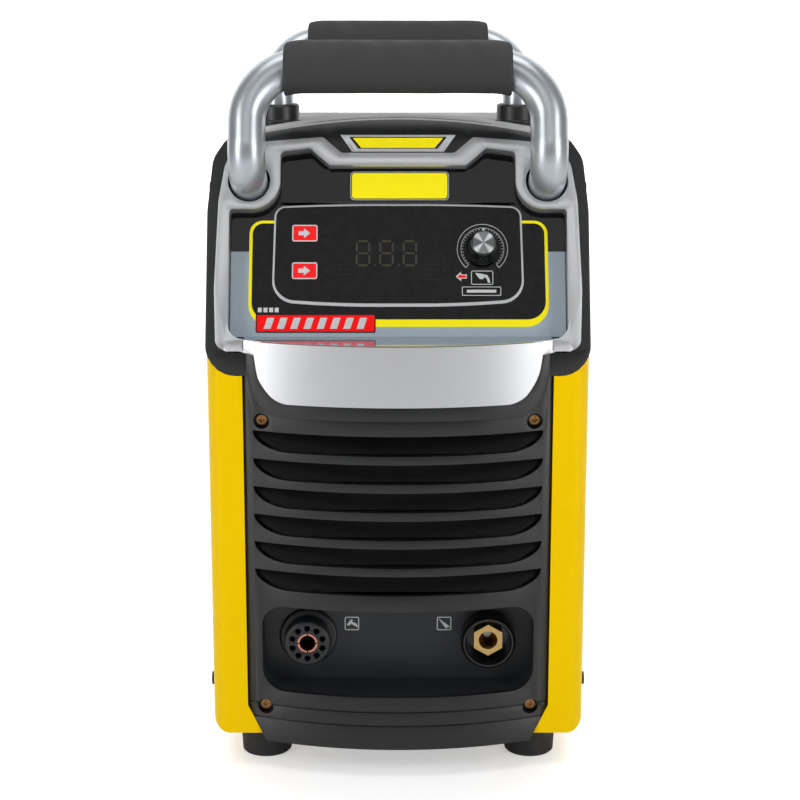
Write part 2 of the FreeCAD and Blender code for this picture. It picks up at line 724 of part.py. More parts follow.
def knob():
    """The current knob: ribbed skirt, spun cap and shaft, on a fixed encoder."""
    base = "panel_in - film - gap"
    tall = "knob_height"
    skirt = [("shaft_radius", "6"), ("bush_radius + 2.5", "4"), ("bush_radius + 2.5", "0"),
             ("knob_radius - 0.5", "0"), ("knob_radius", "0.8"), ("knob_radius - 0.6", "4.5"),
             ("knob_radius - 2.2", "6.5"),
             ("knob_radius - 2.8", f"{tall} - 1"), ("cap_radius + 0.3", tall), ("cap_radius", tall),
             ("cap_radius", f"{tall} - 1"), ("shaft_radius", f"{tall} - 1")]
    node(leaning_turned(skirt, "knob_x", base, "knob_up"), "current_knob")
    cap = [("0", "0"), ("cap_radius", "0"), ("cap_radius", "1"), ("cap_radius - 0.8", "1.6"), ("0", "1.3")]
    node(leaning_turned(cap, "knob_x", f"{base} - {tall} + 1", "knob_up"), "knob_cap")
    node(leaning_rod("knob_x", "board_in - 1", "knob_up", "shaft_radius",
                     f"board_in - 1 - ({base}) + {tall} - 1"), "encoder_shaft")
    block = leaning_box(("knob_x - 7", "knob_x + 7"), ("panel_in + panel_thick", "board_in"),
                        ("knob_up - 7", "knob_up + 7"))
    bush = leaning_rod("knob_x", "board_in - 1", "knob_up", "bush_radius", "board_in - 1 - panel_in + 3")
    bore = leaning_rod("knob_x", "board_in - 1", "knob_up", "shaft_radius + turn_fit", "40")
    node(cut(fuse(block, bush), bore), "encoder_body")


def control_board():
    """The board behind the panel with its posts and switches, and the display on it."""
    board = leaning_box(("-80", "80"), ("board_in", "board_in + board_thick"),
                        ("panel_low + 10", "panel_high - 4"))
    parts = [board]
    for up in button_ups().values():
        start = "panel_in + panel_thick + 1 + button_travel + gap"
        parts.append(leaning_box(("-button_x - 3", "-button_x + 3"), (start, "board_in"),
                                 (f"{up} - 3", f"{up} + 3")))
    parts += [leaning_rod(x, "board_in", up, "2.5", "board_in - panel_in - panel_thick")
              for x in ("-74", "74") for up in ("panel_low + 14", "panel_high - 8")]
    node(fuse(*parts), "control_board")
    face = leaning_box(("-display_x - display_half + gap", "-display_x + display_half - gap"),
                       ("panel_in", "board_in"), ("display_low + gap", "display_high - gap"))
    node(face, "display_module")


def nameplates():
    """A plain plate on the board and a small tapered one in a tray on top of the frame."""
    plate = leaning_box(("-plate_half", "plate_half"), ("8 - plate_thick", "8"), ("plate_low", "plate_high"))
    node(plate, "nameplate")
    low, high = "frame_dip + gap", "frame_top + 0.5"
    tray = leaning_plate(symmetric([("27.7", low), ("34.8", high)]), "-3", "3")
    inset = leaning_plate(symmetric([("23.7", f"{low} + 1.7"), ("29.6", f"{high} - 1.2")]), "-4", "2.2")
    node(cut(tray, inset), "top_badge_frame")


# --------------------------------------------------------------------- handles
def bent_path(points, radii):
    """Straight runs joined by tangent arcs, one radius for each inner point."""
    edges = []
    start = points[0]
    for before, corner, after, radius in zip(points, points[1:], points[2:], radii):
        back = (before - corner).normalize()
        ahead = (after - corner).normalize()
        half = back.getAngle(ahead) / 2
        run = radius / math.tan(half)
        first, last = corner + back * run, corner + ahead * run
        inward = (back + ahead).normalize()
        middle = corner + inward * (radius / math.sin(half) - radius)
        edges.append(Part.makeLine(start, first))
        edges.append(Part.Arc(first, middle, last).toShape())
        start = last
    edges.append(Part.makeLine(start, points[-1]))
    return Part.Wire(edges)


def swept_rod(path, radius):
    first = path.Edges[0]
    start = first.Vertexes[0].Point
    ring = Part.Wire(Part.makeCircle(radius, start, first.Vertexes[-1].Point - start))
    return path.makePipeShell([ring], True, False)


def part_point(x, depth, z):
    return FreeCAD.Vector(value(x), value(FRONT) + value(depth), value(z))


def handle(label, points, radii):
    right = [part_point(*point) for point in points]
    left = [FreeCAD.Vector(-point.x, point.y, point.z) for point in reversed(right)]
    path = bent_path(right + left, radii + list(reversed(radii)))
    tube = swept_rod(path, value("tube_radius")).cut(swept_rod(path, value("tube_radius - tube_wall")))
    shape_node(label, tube)
    return path


def grip(label, depth, path):
    """A foam sleeve that follows its tube a little way round the bends at both ends."""
    sleeve = turned([("0", "0"), ("grip_radius - 1.5", "0"), ("grip_radius", "1.5"),
                     ("grip_radius", "grip_length - 1.5"), ("grip_radius - 1.5", "grip_length"),
                     ("0", "grip_length")], "-grip_length / 2", depth, "grip_height")
    sleeve.Placement = FreeCAD.Placement(sleeve.Placement.Base, FreeCAD.Rotation(FreeCAD.Vector(0, 1, 0), 90))
    inside = doc.addObject("Part::Feature", "GripBore")
    inside.Shape = swept_rod(path, value("tube_radius + 0.05"))
    node(cut(sleeve, inside), label)


def grip_up():
    """How far up the leaning face the front grip's axis lies."""
    return "((grip_height - head_base - leg_out * sin(head_lean)) / cos(head_lean))"


def front_handle():
    radii = [value("elbow_radius"), value("bend_radius")]
    inside = sloping("32", "socket_up")
    elbow = sloping("-leg_out", "socket_up")
    corner = sloping("-leg_out", grip_up())
    path = handle("front_handle", [("leg_x", *inside), ("leg_x", *elbow), ("leg_x", *corner)], radii)
    grip("front_grip", corner[0], path)


def rear_handle():
    radii = [value("knee_radius"), value("bend_radius")]
    top = ("leg_x", "rear_leg + rear_swing", "grip_height")
    foot, knee = ("leg_x", "rear_leg", "rail_high"), ("leg_x", "rear_leg", "rear_knee")
    path = handle("rear_handle", [foot, knee, top], radii)
    grip("rear_grip", "rear_leg + rear_swing", path)
    ring = prism("leg_x", "rear_leg", "top_height", "2 * collar_radius", "collar_height", corners=12)
    washer = rod("leg_x", "rear_leg", "top_height", "collar_radius + 1.5", "2.5")
    bore = rod("leg_x", "rear_leg", "top_height - 5", "tube_radius + 0.05", "30")
    node(both_sides(cut(fuse(ring, washer), bore)), "rear_handle_collars")


# ----------------------------------------------------------- top cover and rails
def top_cover():
    """The moulded lid behind the hood, with two holes for the rear handle."""
    half, back = "body_width / 2", "body_length"
    outer = rounded(
        box((f"-{half}", half), ("head_back", back), ("case_top", "top_height")), "head_round - 3",
        edge_along("x", y=f"{FRONT} + {back}", z="top_height"),
        edge_along("y", x=(f"-{half}", half), z="top_height"))
    inner = rounded(
        box((f"-{half} + top_wall", f"{half} - top_wall"), ("head_back - 1", f"{back} - top_wall"),
            ("case_top - 1", "top_height - top_wall")), "head_round - 3 - top_wall",
        edge_along("x", y=f"{FRONT} + {back} - top_wall", z="top_height - top_wall"),
        edge_along("y", x=(f"-{half} + top_wall", f"{half} - top_wall"), z="top_height - top_wall"))
    legs = both_sides(rod("leg_x", "rear_leg", "case_top", "tube_radius + 0.8", "60"))
    node(cut(outer, inner, legs), "top_cover")


def handle_rails():
    """Two steel rails under the lid that carry both handles, with a clamp block in front."""
    rail = box(("leg_x - 12", "body_width / 2 - head_wall - gap"), ("56", "body_length - 12"),
               ("rail_low", "rail_high"))
    lugs = [box(("leg_x", "body_width / 2 - steel"), (start, f"{start} + 25"), ("rail_low", "rail_high"))
            for start in ("150", "375")]
    block = box(("leg_x - 13", "leg_x + 13"), ("54", "84"), ("rail_high", "rail_high + 22"))
    bore = leaning_rod("leg_x", "32", "socket_up", "tube_radius + 0.05", "60")
    node(both_sides(fuse(rail, *lugs, cut(block, bore))), "handle_rails")


# --------------------------------------------------------------------- the back
def back_outline(inset):
    half, low = f"column_half - ({inset})", f"column_bottom + ({inset})"
    return symmetric([(f"{half} - column_chamfer", low), (half, f"{low} + 2 * column_chamfer"),
                      (half, f"case_top - ({inset})")])


def rear_panel():
    """The moulded back, with its fan opening and the holes for what it carries."""
    outer = front_plate(back_outline("0"), "body_length - 10", "10 + back_out")
    inner = front_plate(back_outline("back_wall"), "body_length - 11", "11 + back_out - back_wall")
    hole = "body_length - 20"
    tools = [inner,
             rod("0", hole, "fan_height", "fan_bore", "50", "back"),
             rod("gland_x", hole, "gland_z", "gland_thread", "50", "back"),
             rod("air_x", hole, "air_z", "air_pipe + gap", "50", "back"),
             rod("0", hole, "gland_z", "4.1", "50", "back"),
             box(("switch_x - 14", "switch_x + 14"), (hole, "body_length + 20"),
                 ("switch_z - 25", "switch_z + 25"))]
    tools += [rod(x, hole, z, "2.2", "50", "back") for x, z in fan_corners()]
    node(cut(outer, *tools), "rear_panel")


def fan_corners():
    offset = "(fan_size / 2 - 7.5)"
    return [(f"{side} {offset}", f"fan_height {level} {offset}") for side in "+-" for level in "+-"]


def fan():
    """The square fan: frame with its motor, and the turning impeller."""
    start = "body_length + back_out - back_wall - fan_thick"
    half = "fan_size / 2"
    block = box((f"-{half}", half), (start, f"{start} + fan_thick"),
                (f"fan_height - {half}", f"fan_height + {half}"))
    holes = [rod(x, f"{start} - 1", z, "2.2", "40", "back") for x, z in fan_corners()]
    ring = cut(block, rod("0", f"{start} - 1", "fan_height", "fan_bore", "40", "back"), *holes)
    level = box((f"-{half} + 1", f"{half} - 1"), (start, f"{start} + 3"),
                ("fan_height - 3", "fan_height + 3"))
    upright = box(("-3", "3"), (start, f"{start} + 3"),
                  (f"fan_height - {half} + 1", f"fan_height + {half} - 1"))
    motor = rod("0", start, "fan_height", "hub_radius - 3", "9", "back")
    bore = rod("0", start, "fan_height", "1.5 + turn_fit", "40", "back")
    node(cut(fuse(ring, level, upright, motor), bore), "fan_frame")

    begin = f"({start} + 10)"
    hub = fuse(rod("0", begin, "fan_height", "hub_radius", "12", "back"),
               rod("0", f"{start} + 1", "fan_height", "1.5", "12", "back"))
    doc.recompute()
    centre = FreeCAD.Vector(0, value(FRONT) + value(begin) + 6, value("fan_height"))
    impeller = hub.Shape
    count = int(value("blades"))
    for number in range(count):
        length = value("blade_radius - hub_radius") + 2
        blade = Part.makeBox(16, 1.6, length, FreeCAD.Vector(-8, -0.8, value("hub_radius") - 2))
        blade.rotate(FreeCAD.Vector(), FreeCAD.Vector(0, 0, 1), 32)
        blade.rotate(FreeCAD.Vector(), FreeCAD.Vector(0, 1, 0), 360 * number / count)
        blade.translate(centre)
        impeller = impeller.fuse(blade)
    shape_node("fan_impeller", impeller.removeSplitter())


def fan_grille():
    """A wire guard of four rings on a cross, with an eye at each screw."""
    plane = "body_length + back_out + 1.5"
    rings = []
    for radius in ("18", "31", "44", "fan_bore + 1.5"):
        ring = doc.addObject("Part::Torus", "Ring")
        bind(ring, Radius1=radius, Radius2="1.5")
        turn(ring, 90)
        seat(ring, "0", plane, "fan_height")
        rings.append(ring)
    arm = "(fan_size / 2 + 1)"
    deep = (f"{plane} - 1.5", f"{plane} + 1")
    level = box((f"-{arm}", arm), deep, ("fan_height - 1.5", "fan_height + 1.5"))
    upright = box(("-1.5", "1.5"), deep, (f"fan_height - {arm}", f"fan_height + {arm}"))
    eyes = [rod(x, f"{plane} - 1.5", z, "6", "2", "back") for x, z in fan_corners()]
    diagonals = [leg_to(x, z, f"{plane} - 1.5") for x, z in fan_corners()]
    holes = [rod(x, f"{plane} - 2", z, "2.2", "6", "back") for x, z in fan_corners()]
    node(cut(fuse(*rings, level, upright, *eyes, *diagonals), *holes), "fan_grille")


def leg_to(x, z, depth):
    """A short strip from the outer ring towards a corner eye."""
    ends = (0.78, 0.95)
    across = sorted([f"({x}) * {end}" for end in ends], key=value)
    rise = sorted([f"fan_height + (({z}) - fan_height) * {end}" for end in ends], key=value)
    return box(across, (depth, f"({depth}) + 2"), rise)


def power_switch():
    """A toggle breaker let into the back, with its lever on a cross pin."""
    wall = "body_length + back_out"
    body = box(("switch_x - 13.7", "switch_x + 13.7"), (f"{wall} - 62", f"{wall} + 1"),
               ("switch_z - 24.7", "switch_z + 24.7"))
    flange = box(("switch_x - 17", "switch_x + 17"), (wall, f"{wall} + 2"),
                 ("switch_z - 29", "switch_z + 29"))
    well = box(("switch_x - 6.5", "switch_x + 6.5"), (f"{wall} - 12", f"{wall} + 3"),
               ("switch_z - 15", "switch_z + 15"))
    pin = doc.addObject("Part::Cylinder", "Pin")
    bind(pin, Radius="1.5 + turn_fit", Height="20")
    turn(pin, 90, (0, 1, 0))
    seat(pin, "switch_x - 10", f"{wall} - 6", "switch_z")
    node(cut(fuse(body, flange), well, pin), "power_switch_body")
    axle = doc.addObject("Part::Cylinder", "Axle")
    bind(axle, Radius="1.5", Height="18")
    turn(axle, 90, (0, 1, 0))
    seat(axle, "switch_x - 9", f"{wall} - 6", "switch_z")
    boss = doc.addObject("Part::Cylinder", "Boss")
    bind(boss, Radius="4.5", Height="12")
    turn(boss, 90, (0, 1, 0))
    seat(boss, "switch_x - 6", f"{wall} - 6", "switch_z")
    bar = box(("switch_x - 6", "switch_x + 6"), (f"{wall} - 6", f"{wall} + 13"),
              ("switch_z - 3", "switch_z + 3"))
    node(fuse(axle, boss, bar), "power_switch_lever")


def cable_gland():
    """The mains gland with its clamping cap and a clear bore."""
    wall = "body_length + back_out"
    body = [("gland_bore", "-16"), ("gland_thread - 0.1", "-16"), ("gland_thread - 0.1", "0"),
            ("gland_thread + 3", "0"), ("gland_thread + 3", "5"), ("gland_thread - 1", "5"),
            ("gland_thread - 1", "14"), ("gland_bore", "14")]
    threaded = turned(body, "gland_x", wall, "gland_z", -90)
    cap = prism("gland_x", f"{wall} + 5", "gland_z", "2 * gland_thread + 4", "13", "back")
    dome = [("0", "0"), ("gland_thread + 4", "0"), ("gland_thread + 4", "9"),
            ("gland_bore + 1.5", "13"), ("0", "13")]
    shaped = common(cap, turned(dome, "gland_x", f"{wall} + 5", "gland_z", -90))
    thread = rod("gland_x", f"{wall} + 4", "gland_z", "gland_thread - 1", "10", "back")
    ring = cut(shaped, thread, rod("gland_x", wall, "gland_z", "gland_bore", "40", "back"))
    node(fuse(threaded, ring), "cable_gland")


def earth_stud():
    """The brass protective-earth bolt with its nut."""
    wall = "body_length + back_out"
    stud = rod("0", f"{wall} - 14", "gland_z", "4", "30", "back")
    nuts = [prism("0", f"{wall} + 1.5", "gland_z", "13", "5", "back"),
            prism("0", f"{wall} - back_wall", "gland_z", "13", "5", "front")]
    washer = rod("0", wall, "gland_z", "8", "1.5", "back")
    node(fuse(stud, washer, *nuts), "earth_stud")


def air_regulator():
    """Filter regulator on the back: block, bowl, setting knob, gauge and inlet."""
    wall = "body_length + back_out"
    block = rounded(box(("air_x - 18", "air_x + 18"), (wall, f"{wall} + 38"), ("air_z - 17", "air_z + 17")),
                    "3", edge_along("z", x=("air_x - 18", "air_x + 18")))
    pipe = rod("air_x", f"{wall} + 1", "air_z", "air_pipe", "64", "front")
    neck = rod("air_x", f"{wall} + 20", "air_z + 16", "11", "8")
    stem = rod("air_x", f"{wall} + 20", "air_z + 20", "4", "18")
    node(fuse(block, pipe, neck, stem), "regulator_block")
    knob = [("4 + turn_fit", "0"), ("15", "0"), ("15", "2"), ("14", "3"), ("14", "17"), ("12.5", "19"),
            ("0", "19"), ("0", "13.5"), ("4 + turn_fit", "13.5")]
    node(turned(knob, "air_x", f"{wall} + 20", "air_z + 24.6"), "regulator_knob")
    bowl = [("0", "0"), ("6", "0"), ("13", "5"), ("14.5", "9"), ("14.5", "40"), ("12.5", "40"), ("12.5", "9"),
            ("5", "2.5"), ("0", "2.5")]
    node(turned(bowl, "air_x", f"{wall} + 20", "air_z - 57"), "filter_bowl")
    inlet = doc.addObject("Part::Cylinder", "Inlet")
    bind(inlet, Radius="air_thread", Height="16")
    turn(inlet, 90, (0, 1, 0))
    seat(inlet, "air_x + 18", f"{wall} + 20", "air_z")
    bore = doc.addObject("Part::Cylinder", "InletBore")
    bind(bore, Radius="air_bore", Height="20")
    turn(bore, 90, (0, 1, 0))
    seat(bore, "air_x + 22", f"{wall} + 20", "air_z")
    node(cut(inlet, bore), "air_inlet")


def pressure_gauge():
    """The gauge on the regulator's face, with its needle on a fine arbor."""
    face = "body_length + back_out + 38"
    case = [("0", "0"), ("17", "0"), ("18", "1"), ("18", "15"), ("16.5", "15"), ("16.5", "6"),
            ("0.75 + turn_fit", "6"), ("0.75 + turn_fit", "2"), ("0", "2")]
    node(turned(case, "air_x", face, "air_z", -90), "gauge_case")
    needle = fuse(box(("air_x - 0.6", "air_x + 0.6"), (f"{face} + 9", f"{face} + 9.8"),
                      ("air_z - 4", "air_z + 12")),
                  rod("air_x", f"{face} + 2.2", "air_z", "0.75", "7.6", "back"),
                  rod("air_x", f"{face} + 9", "air_z", "2", "1", "back"))
    node(needle, "gauge_needle")
    node(rod("air_x", f"{face} + 12.5", "air_z", "16.5", "1.5", "back"), "gauge_glass")


# ------------------------------------------------------------------- the inside
def louvre_vanes():
    """Sloping vanes behind the slots that keep spatter out and let air through."""
    vanes = []
    for number in range(int(value("louvre_count"))):
        high = f"louvre_top - {number} * louvre_pitch + 1"
        low = f"{high} - louvre_height - 2.5"
        profile = [("-4.5", low), ("-3", low), ("7", high), ("5.5", high)]
        vane = padded("YZ_Plane", profile, "2 * louvre_half", both_ways=True)
        seat(vane, "0", "0", "0")
        vanes.append(vane)
    kept = common(fuse(*vanes), drum("column_radius - column_wall - gap",
                                     "column_bulge - column_wall - gap"))
    bosses = [rod(x, "column_back + 1", z, "7 + gap", "30", "front") for x, z in ear_places()]
    node(cut(kept, *bosses), "louvre_vanes")


def power_section():
    """Shelf, heat sink with its switches, boards, capacitors and wound parts."""
    side = "body_width / 2 - steel"
    plate = box((f"-({side})", side), ("40", "body_length - 35"), ("shelf_z - steel", "shelf_z"))
    base = box(("-90", "90"), ("150", "330"), ("shelf_z", "shelf_z + 8"))
    starts = [-90 + 15 * step for step in range(12)] + [88]
    fins = [box((f"{start}", f"{start + 2}"), ("150", "330"), ("shelf_z + 8", "shelf_z + 40"))
            for start in starts]
    node(fuse(base, *fins), "heat_sink")
    board = "shelf_z + 62"
    node(box(("-95", "95"), ("120", "360"), (board, f"{board} + 2")), "inverter_board")
    posts = [rod(x, depth, "shelf_z", "3.5", "62") for x in ("-93", "93") for depth in ("135", "345")]
    node(fuse(plate, *posts), "shelf")
    modules = [box((f"{start}", f"{start} + 34"), ("190", "284"), ("shelf_z + 40", board))
               for start in ("-80", "-17", "46")]
    node(group(*modules), "transistor_modules")
    cans = [rod(x, depth, f"{board} + 2", "17", "45")
            for x in ("-60", "-20", "20", "60") for depth in ("150", "190")]
    node(group(*cans), "capacitors")
    floor = "case_bottom + 2 * steel"
    core = box(("-45", "35"), ("210", "310"), (floor, "shelf_z - steel - 6"))
    window = box(("-30", "20"), ("205", "315"), (f"{floor} + 18.5", "shelf_z - steel - 24.5"))
    coil = box(("-29.5", "19.5"), ("196", "324"), (f"{floor} + 18.5", "shelf_z - steel - 24.5"))
    winding = rounded(coil, "8", edge_along("z", x=("-29.5", "19.5")))
    node(fuse(cut(core, window), winding), "main_transformer")
    choke = doc.addObject("Part::Torus", "Choke")
    bind(choke, Radius1="24", Radius2="11")
    seat(choke, "-15", "135", f"{floor} + 11")
    node(choke, "output_choke")


def air_path():
    """The solenoid valve behind the regulator and the hose from it to the torch outlet."""
    wall = "body_length + back_out"
    body = box(("air_x - 16", "air_x + 16"), (f"{wall} - 99", f"{wall} - 63"),
               ("air_z - 14", "air_z + 14"))
    coil = box(("air_x - 14", "air_x + 14"), (f"{wall} - 96", f"{wall} - 66"),
               ("air_z + 14", "shelf_z - steel"))
    node(fuse(body, coil), "solenoid_valve")
    start = part_point("connector_x", "pocket_depth + 32", "connector_z")
    end = part_point("air_x", f"{wall} - 99", "air_z")
    inward = FreeCAD.Vector(0, 60, 0)
    path = bent_path([start, start + inward, end - inward, end], [30, 30])
    ring = Part.Wire(Part.makeCircle(5.5, start, FreeCAD.Vector(0, 1, 0)))
    shape_node("air_hose", path.makePipeShell([ring], True, False))


def case_screws():
    """Black screws: domes at the sides of the case, and four that hold the fan and its guard."""
    domes = []
    places = [("22", "50"), ("body_length - 22", "50"), ("60", "head_low + 40"), ("75", "case_top + 8")]
    for depth, z in places:
        dome = doc.addObject("Part::Cylinder", "Dome")
        bind(dome, Radius="4.2", Height="2.2")
        turn(dome, 90, (0, 1, 0))
        seat(dome, "body_width / 2", depth, z)
        domes.append(dome)
    guard = "body_length + back_out + 2"
    screws = [screw(x, guard, z, "3.8", "2.4", "2", "28", "back") for x, z in fan_corners()]
    node(group(both_sides(group(*domes)), *screws), "case_screws")


def finish_build():
    doc.recompute()
    for piece in doc.Objects:
        if "Invalid" in piece.State or "Error" in piece.State:
            raise RuntimeError(f"{piece.Name} failed to recompute: {piece.State}")
    for piece in nodes:
        shape = piece.Shape
        if shape.isNull() or not shape.isValid() or not shape.Solids:
            raise RuntimeError(f"{piece.Label} has no valid solid")
    for piece in nodes:
        piece.Shape.exportStep(f"parts/{piece.Label}.step")
        print(f"{piece.Label:24s} {len(piece.Shape.Solids)} solid(s) {piece.Shape.Volume / 1000:9.1f} cm3")


side_panels()
base_pan()
feet()
front_column()
connector_tray()
work_socket()
torch_fitting()
column_screws()
head_bezel()
head_frame()
panel()
buttons()
knob()
control_board()
nameplates()
front_handle()
rear_handle()
top_cover()
handle_rails()
rear_panel()
fan()
fan_grille()
power_switch()
cable_gland()
earth_stud()
air_regulator()
pressure_gauge()
louvre_vanes()
power_section()
air_path()
case_screws()
finish_build()
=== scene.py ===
import bpy
import bmesh
import math
from mathutils import Matrix, Vector, noise


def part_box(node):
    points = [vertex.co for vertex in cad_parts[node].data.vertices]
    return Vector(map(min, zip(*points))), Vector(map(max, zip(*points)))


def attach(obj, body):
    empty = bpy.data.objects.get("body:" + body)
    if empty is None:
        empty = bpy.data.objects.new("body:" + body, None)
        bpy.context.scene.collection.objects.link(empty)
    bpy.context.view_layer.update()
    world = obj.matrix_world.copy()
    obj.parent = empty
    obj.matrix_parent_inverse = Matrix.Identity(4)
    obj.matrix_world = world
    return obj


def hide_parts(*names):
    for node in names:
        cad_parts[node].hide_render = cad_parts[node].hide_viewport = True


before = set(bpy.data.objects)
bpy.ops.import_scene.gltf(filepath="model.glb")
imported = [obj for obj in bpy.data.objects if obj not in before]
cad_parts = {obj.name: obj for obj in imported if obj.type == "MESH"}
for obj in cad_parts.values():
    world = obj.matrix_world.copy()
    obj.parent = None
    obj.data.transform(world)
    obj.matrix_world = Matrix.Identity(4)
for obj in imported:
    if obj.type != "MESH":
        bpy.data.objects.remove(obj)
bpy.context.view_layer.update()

# Plasma cutter unit, in metres, on the frame of its CAD model.  Each section below is one
# piece or a group of like pieces, in the order in which the unit is put together.
MM = 0.001


# ------------------------------------------------------------------------ the studio
# A camera 1.14 metres in front of the case, looking 13 degrees down at it, over a white floor
# that runs back to a white wall.  Soft boxes light the unit from both sides, from above and
# from high in front, in a room that is otherwise dim.
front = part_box("side_panel_left")[0].y


def linear(code):
    """The linear colour of an sRGB hex value."""
    parts = [int(code[place:place + 2], 16) / 255 for place in (0, 2, 4)]
    return (*[part / 12.92 if part <= 0.04045 else ((part + 0.055) / 1.055) ** 2.4 for part in parts], 1)


def add(material, kind, sockets=None, **settings):
    """A node with its settings, and with each socket given a value or a link."""
    tree = material.node_tree
    node = tree.nodes.new(kind)
    for setting, choice in settings.items():
        setattr(node, setting, choice)
    for socket, source in (sockets or {}).items():
        if isinstance(source, bpy.types.NodeSocket):
            tree.links.new(source, node.inputs[socket])
        else:
            node.inputs[socket].default_value = source
    return node


lens = bpy.data.cameras.new("studio_camera")
lens.sensor_width = 36
lens.lens = 87.75
lens.shift_x = 0.0025
camera = bpy.data.objects.new("studio_camera", lens)
camera.location = (0, front - 1.139, 0.498)
camera.rotation_euler = (math.radians(90 - 13), 0, 0)
bpy.context.collection.objects.link(camera)
bpy.context.scene.camera = camera
bpy.context.scene.view_settings.view_transform = "Standard"

room = bpy.data.worlds.new("dim_room")
bpy.context.scene.world = room
room.use_nodes = True
room.node_tree.nodes["Background"].inputs["Color"].default_value = (1, 1, 1, 1)
room.node_tree.nodes["Background"].inputs["Strength"].default_value = 0.12


def stage_plane(name, half, depth, z, tilt, colour, roughness, glow, spill):
    """A square sheet of the studio, which glows for the camera and by a share of that for the unit."""
    sheet = bmesh.new()
    bmesh.ops.create_grid(sheet, x_segments=1, y_segments=1, size=half)
    bmesh.ops.rotate(sheet, verts=sheet.verts, matrix=Matrix.Rotation(tilt, 3, "X"))
    bmesh.ops.translate(sheet, verts=sheet.verts, vec=(0, depth, z))
    mesh = bpy.data.meshes.new(name)
    sheet.to_mesh(mesh)
    sheet.free()
    thing = bpy.data.objects.new(name, mesh)
    bpy.context.collection.objects.link(thing)
    paper = bpy.data.materials.new(name + "_paper")
    paper.use_nodes = True
    shader = paper.node_tree.nodes["Principled BSDF"]
    shader.inputs["Base Color"].default_value = linear(colour)
    shader.inputs["Roughness"].default_value = roughness
    shader.inputs["Emission Color"].default_value = (1, 1, 1, 1)
    ray = add(paper, "ShaderNodeLightPath")
    seen = add(paper, "ShaderNodeMapRange", {"Value": ray.outputs["Is Camera Ray"],
                                             "To Min": glow * spill, "To Max": glow})
    paper.node_tree.links.new(seen.outputs["Result"], shader.inputs["Emission Strength"])
    mesh.materials.append(paper)


stage_plane("studio_floor", 6, 0, 0, 0, "F4F4F5", roughness=0.25, glow=0.44, spill=0.1)
stage_plane("studio_wall", 4, 2.4, 2.0, math.radians(90), "FFFFFF", roughness=0.9, glow=1.0, spill=1.0)


def soft_box(name, place, target, width, height, watts):
    """A rectangular light that faces a point."""
    panel = bpy.data.lights.new(name, "AREA")
    panel.shape = "RECTANGLE"
    panel.size = width
    panel.size_y = height
    panel.energy = watts
    lamp = bpy.data.objects.new(name, panel)
    lamp.location = place
    lamp.rotation_euler = (Vector(target) - Vector(place)).to_track_quat("-Z", "Y").to_euler()
    bpy.context.collection.objects.link(lamp)


soft_box("soft_box_left", (-1.4, -1.3, 0.75), (0, -0.1, 0.25), 0.7, 1.5, 15)
soft_box("soft_box_right", (1.4, -1.3, 0.75), (0, -0.1, 0.25), 0.7, 1.5, 15)
soft_box("soft_box_above", (0, -0.3, 1.9), (0, -0.05, 0.2), 1.5, 1.0, 13)
soft_box("soft_box_front", (0, -2.3, 1.75), (0, -0.1, 0.3), 1.6, 0.7, 4)


# ----------------------------------------------------------------------- steel case
# Two folded side panels of 1.5 mm sheet steel, powder coated in a strong yellow, on a zinc
# plated base pan.  The powder flows into a skin with a faint orange peel and a soft gloss.
def surface(name, colours, gloss, cloud_mm, grain_mm, relief_mm, metallic=0.0, stretch=(1, 1, 1)):
    """A finish whose tone and gloss drift in clouds, over a skin with a fine grain.

    The tone node is a mix of the two colours, kept by name for a finish that adds to it."""
    material = bpy.data.materials.new(name)
    material.use_nodes = True
    shader = material.node_tree.nodes["Principled BSDF"]
    shader.inputs["Metallic"].default_value = metallic
    where = add(material, "ShaderNodeTexCoord").outputs["Object"]
    where = add(material, "ShaderNodeMapping", {"Vector": where, "Scale": stretch}).outputs["Vector"]
    cloud = add(material, "ShaderNodeTexNoise", {"Vector": where, "Scale": 1000 / cloud_mm, "Detail": 6.0})
    # A mix node's sockets for colours go by number.
    share, first, second, mixed = 0, 6, 7, 2
    tone = add(material, "ShaderNodeMix", {share: cloud.outputs["Fac"], first: linear(colours[0]),
                                           second: linear(colours[1])}, data_type="RGBA", name="tone")
    shine = add(material, "ShaderNodeMapRange", {"Value": cloud.outputs["Fac"], "From Min": 0.3,
                                                 "From Max": 0.7, "To Min": gloss[0], "To Max": gloss[1]})
    grain = add(material, "ShaderNodeTexNoise", {"Vector": where, "Scale": 1000 / grain_mm, "Detail": 3.0})
    bump = add(material, "ShaderNodeBump", {"Height": grain.outputs["Fac"], "Strength": 1.0,
                                            "Distance": relief_mm * MM})
    links = material.node_tree.links
    links.new(tone.outputs[mixed], shader.inputs["Base Color"])
    links.new(shine.outputs["Result"], shader.inputs["Roughness"])
    links.new(bump.outputs["Normal"], shader.inputs["Normal"])
    return material


def coat(material, *nodes):
    """Gives CAD pieces a finish in place of the plain one that they came with."""
    for name in nodes:
        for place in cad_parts[name].material_slots:
            place.material = material


def socket(material, name, level):
    """Sets one socket of a finish's shader."""
    material.node_tree.nodes["Principled BSDF"].inputs[name].default_value = level


yellow_powder_coat = surface("yellow_powder_coat", ("EFC300", "F5CC00"), (0.26, 0.34), 60, 1.6, 0.012)
socket(yellow_powder_coat, "Specular Tint", linear("FFD84A"))
coat(yellow_powder_coat, "side_panel_left", "side_panel_right")

# Electroplated zinc: a grey metal with a fine cloudy spangle.
zinc_plate = surface("zinc_plated_steel", ("8C9094", "B4B8BB"), (0.30, 0.48), 9, 0.8, 0.008, 1.0)
coat(zinc_plate, "base_pan", "handle_rails", "shelf", "panel_nuts", "encoder_body", "encoder_shaft")


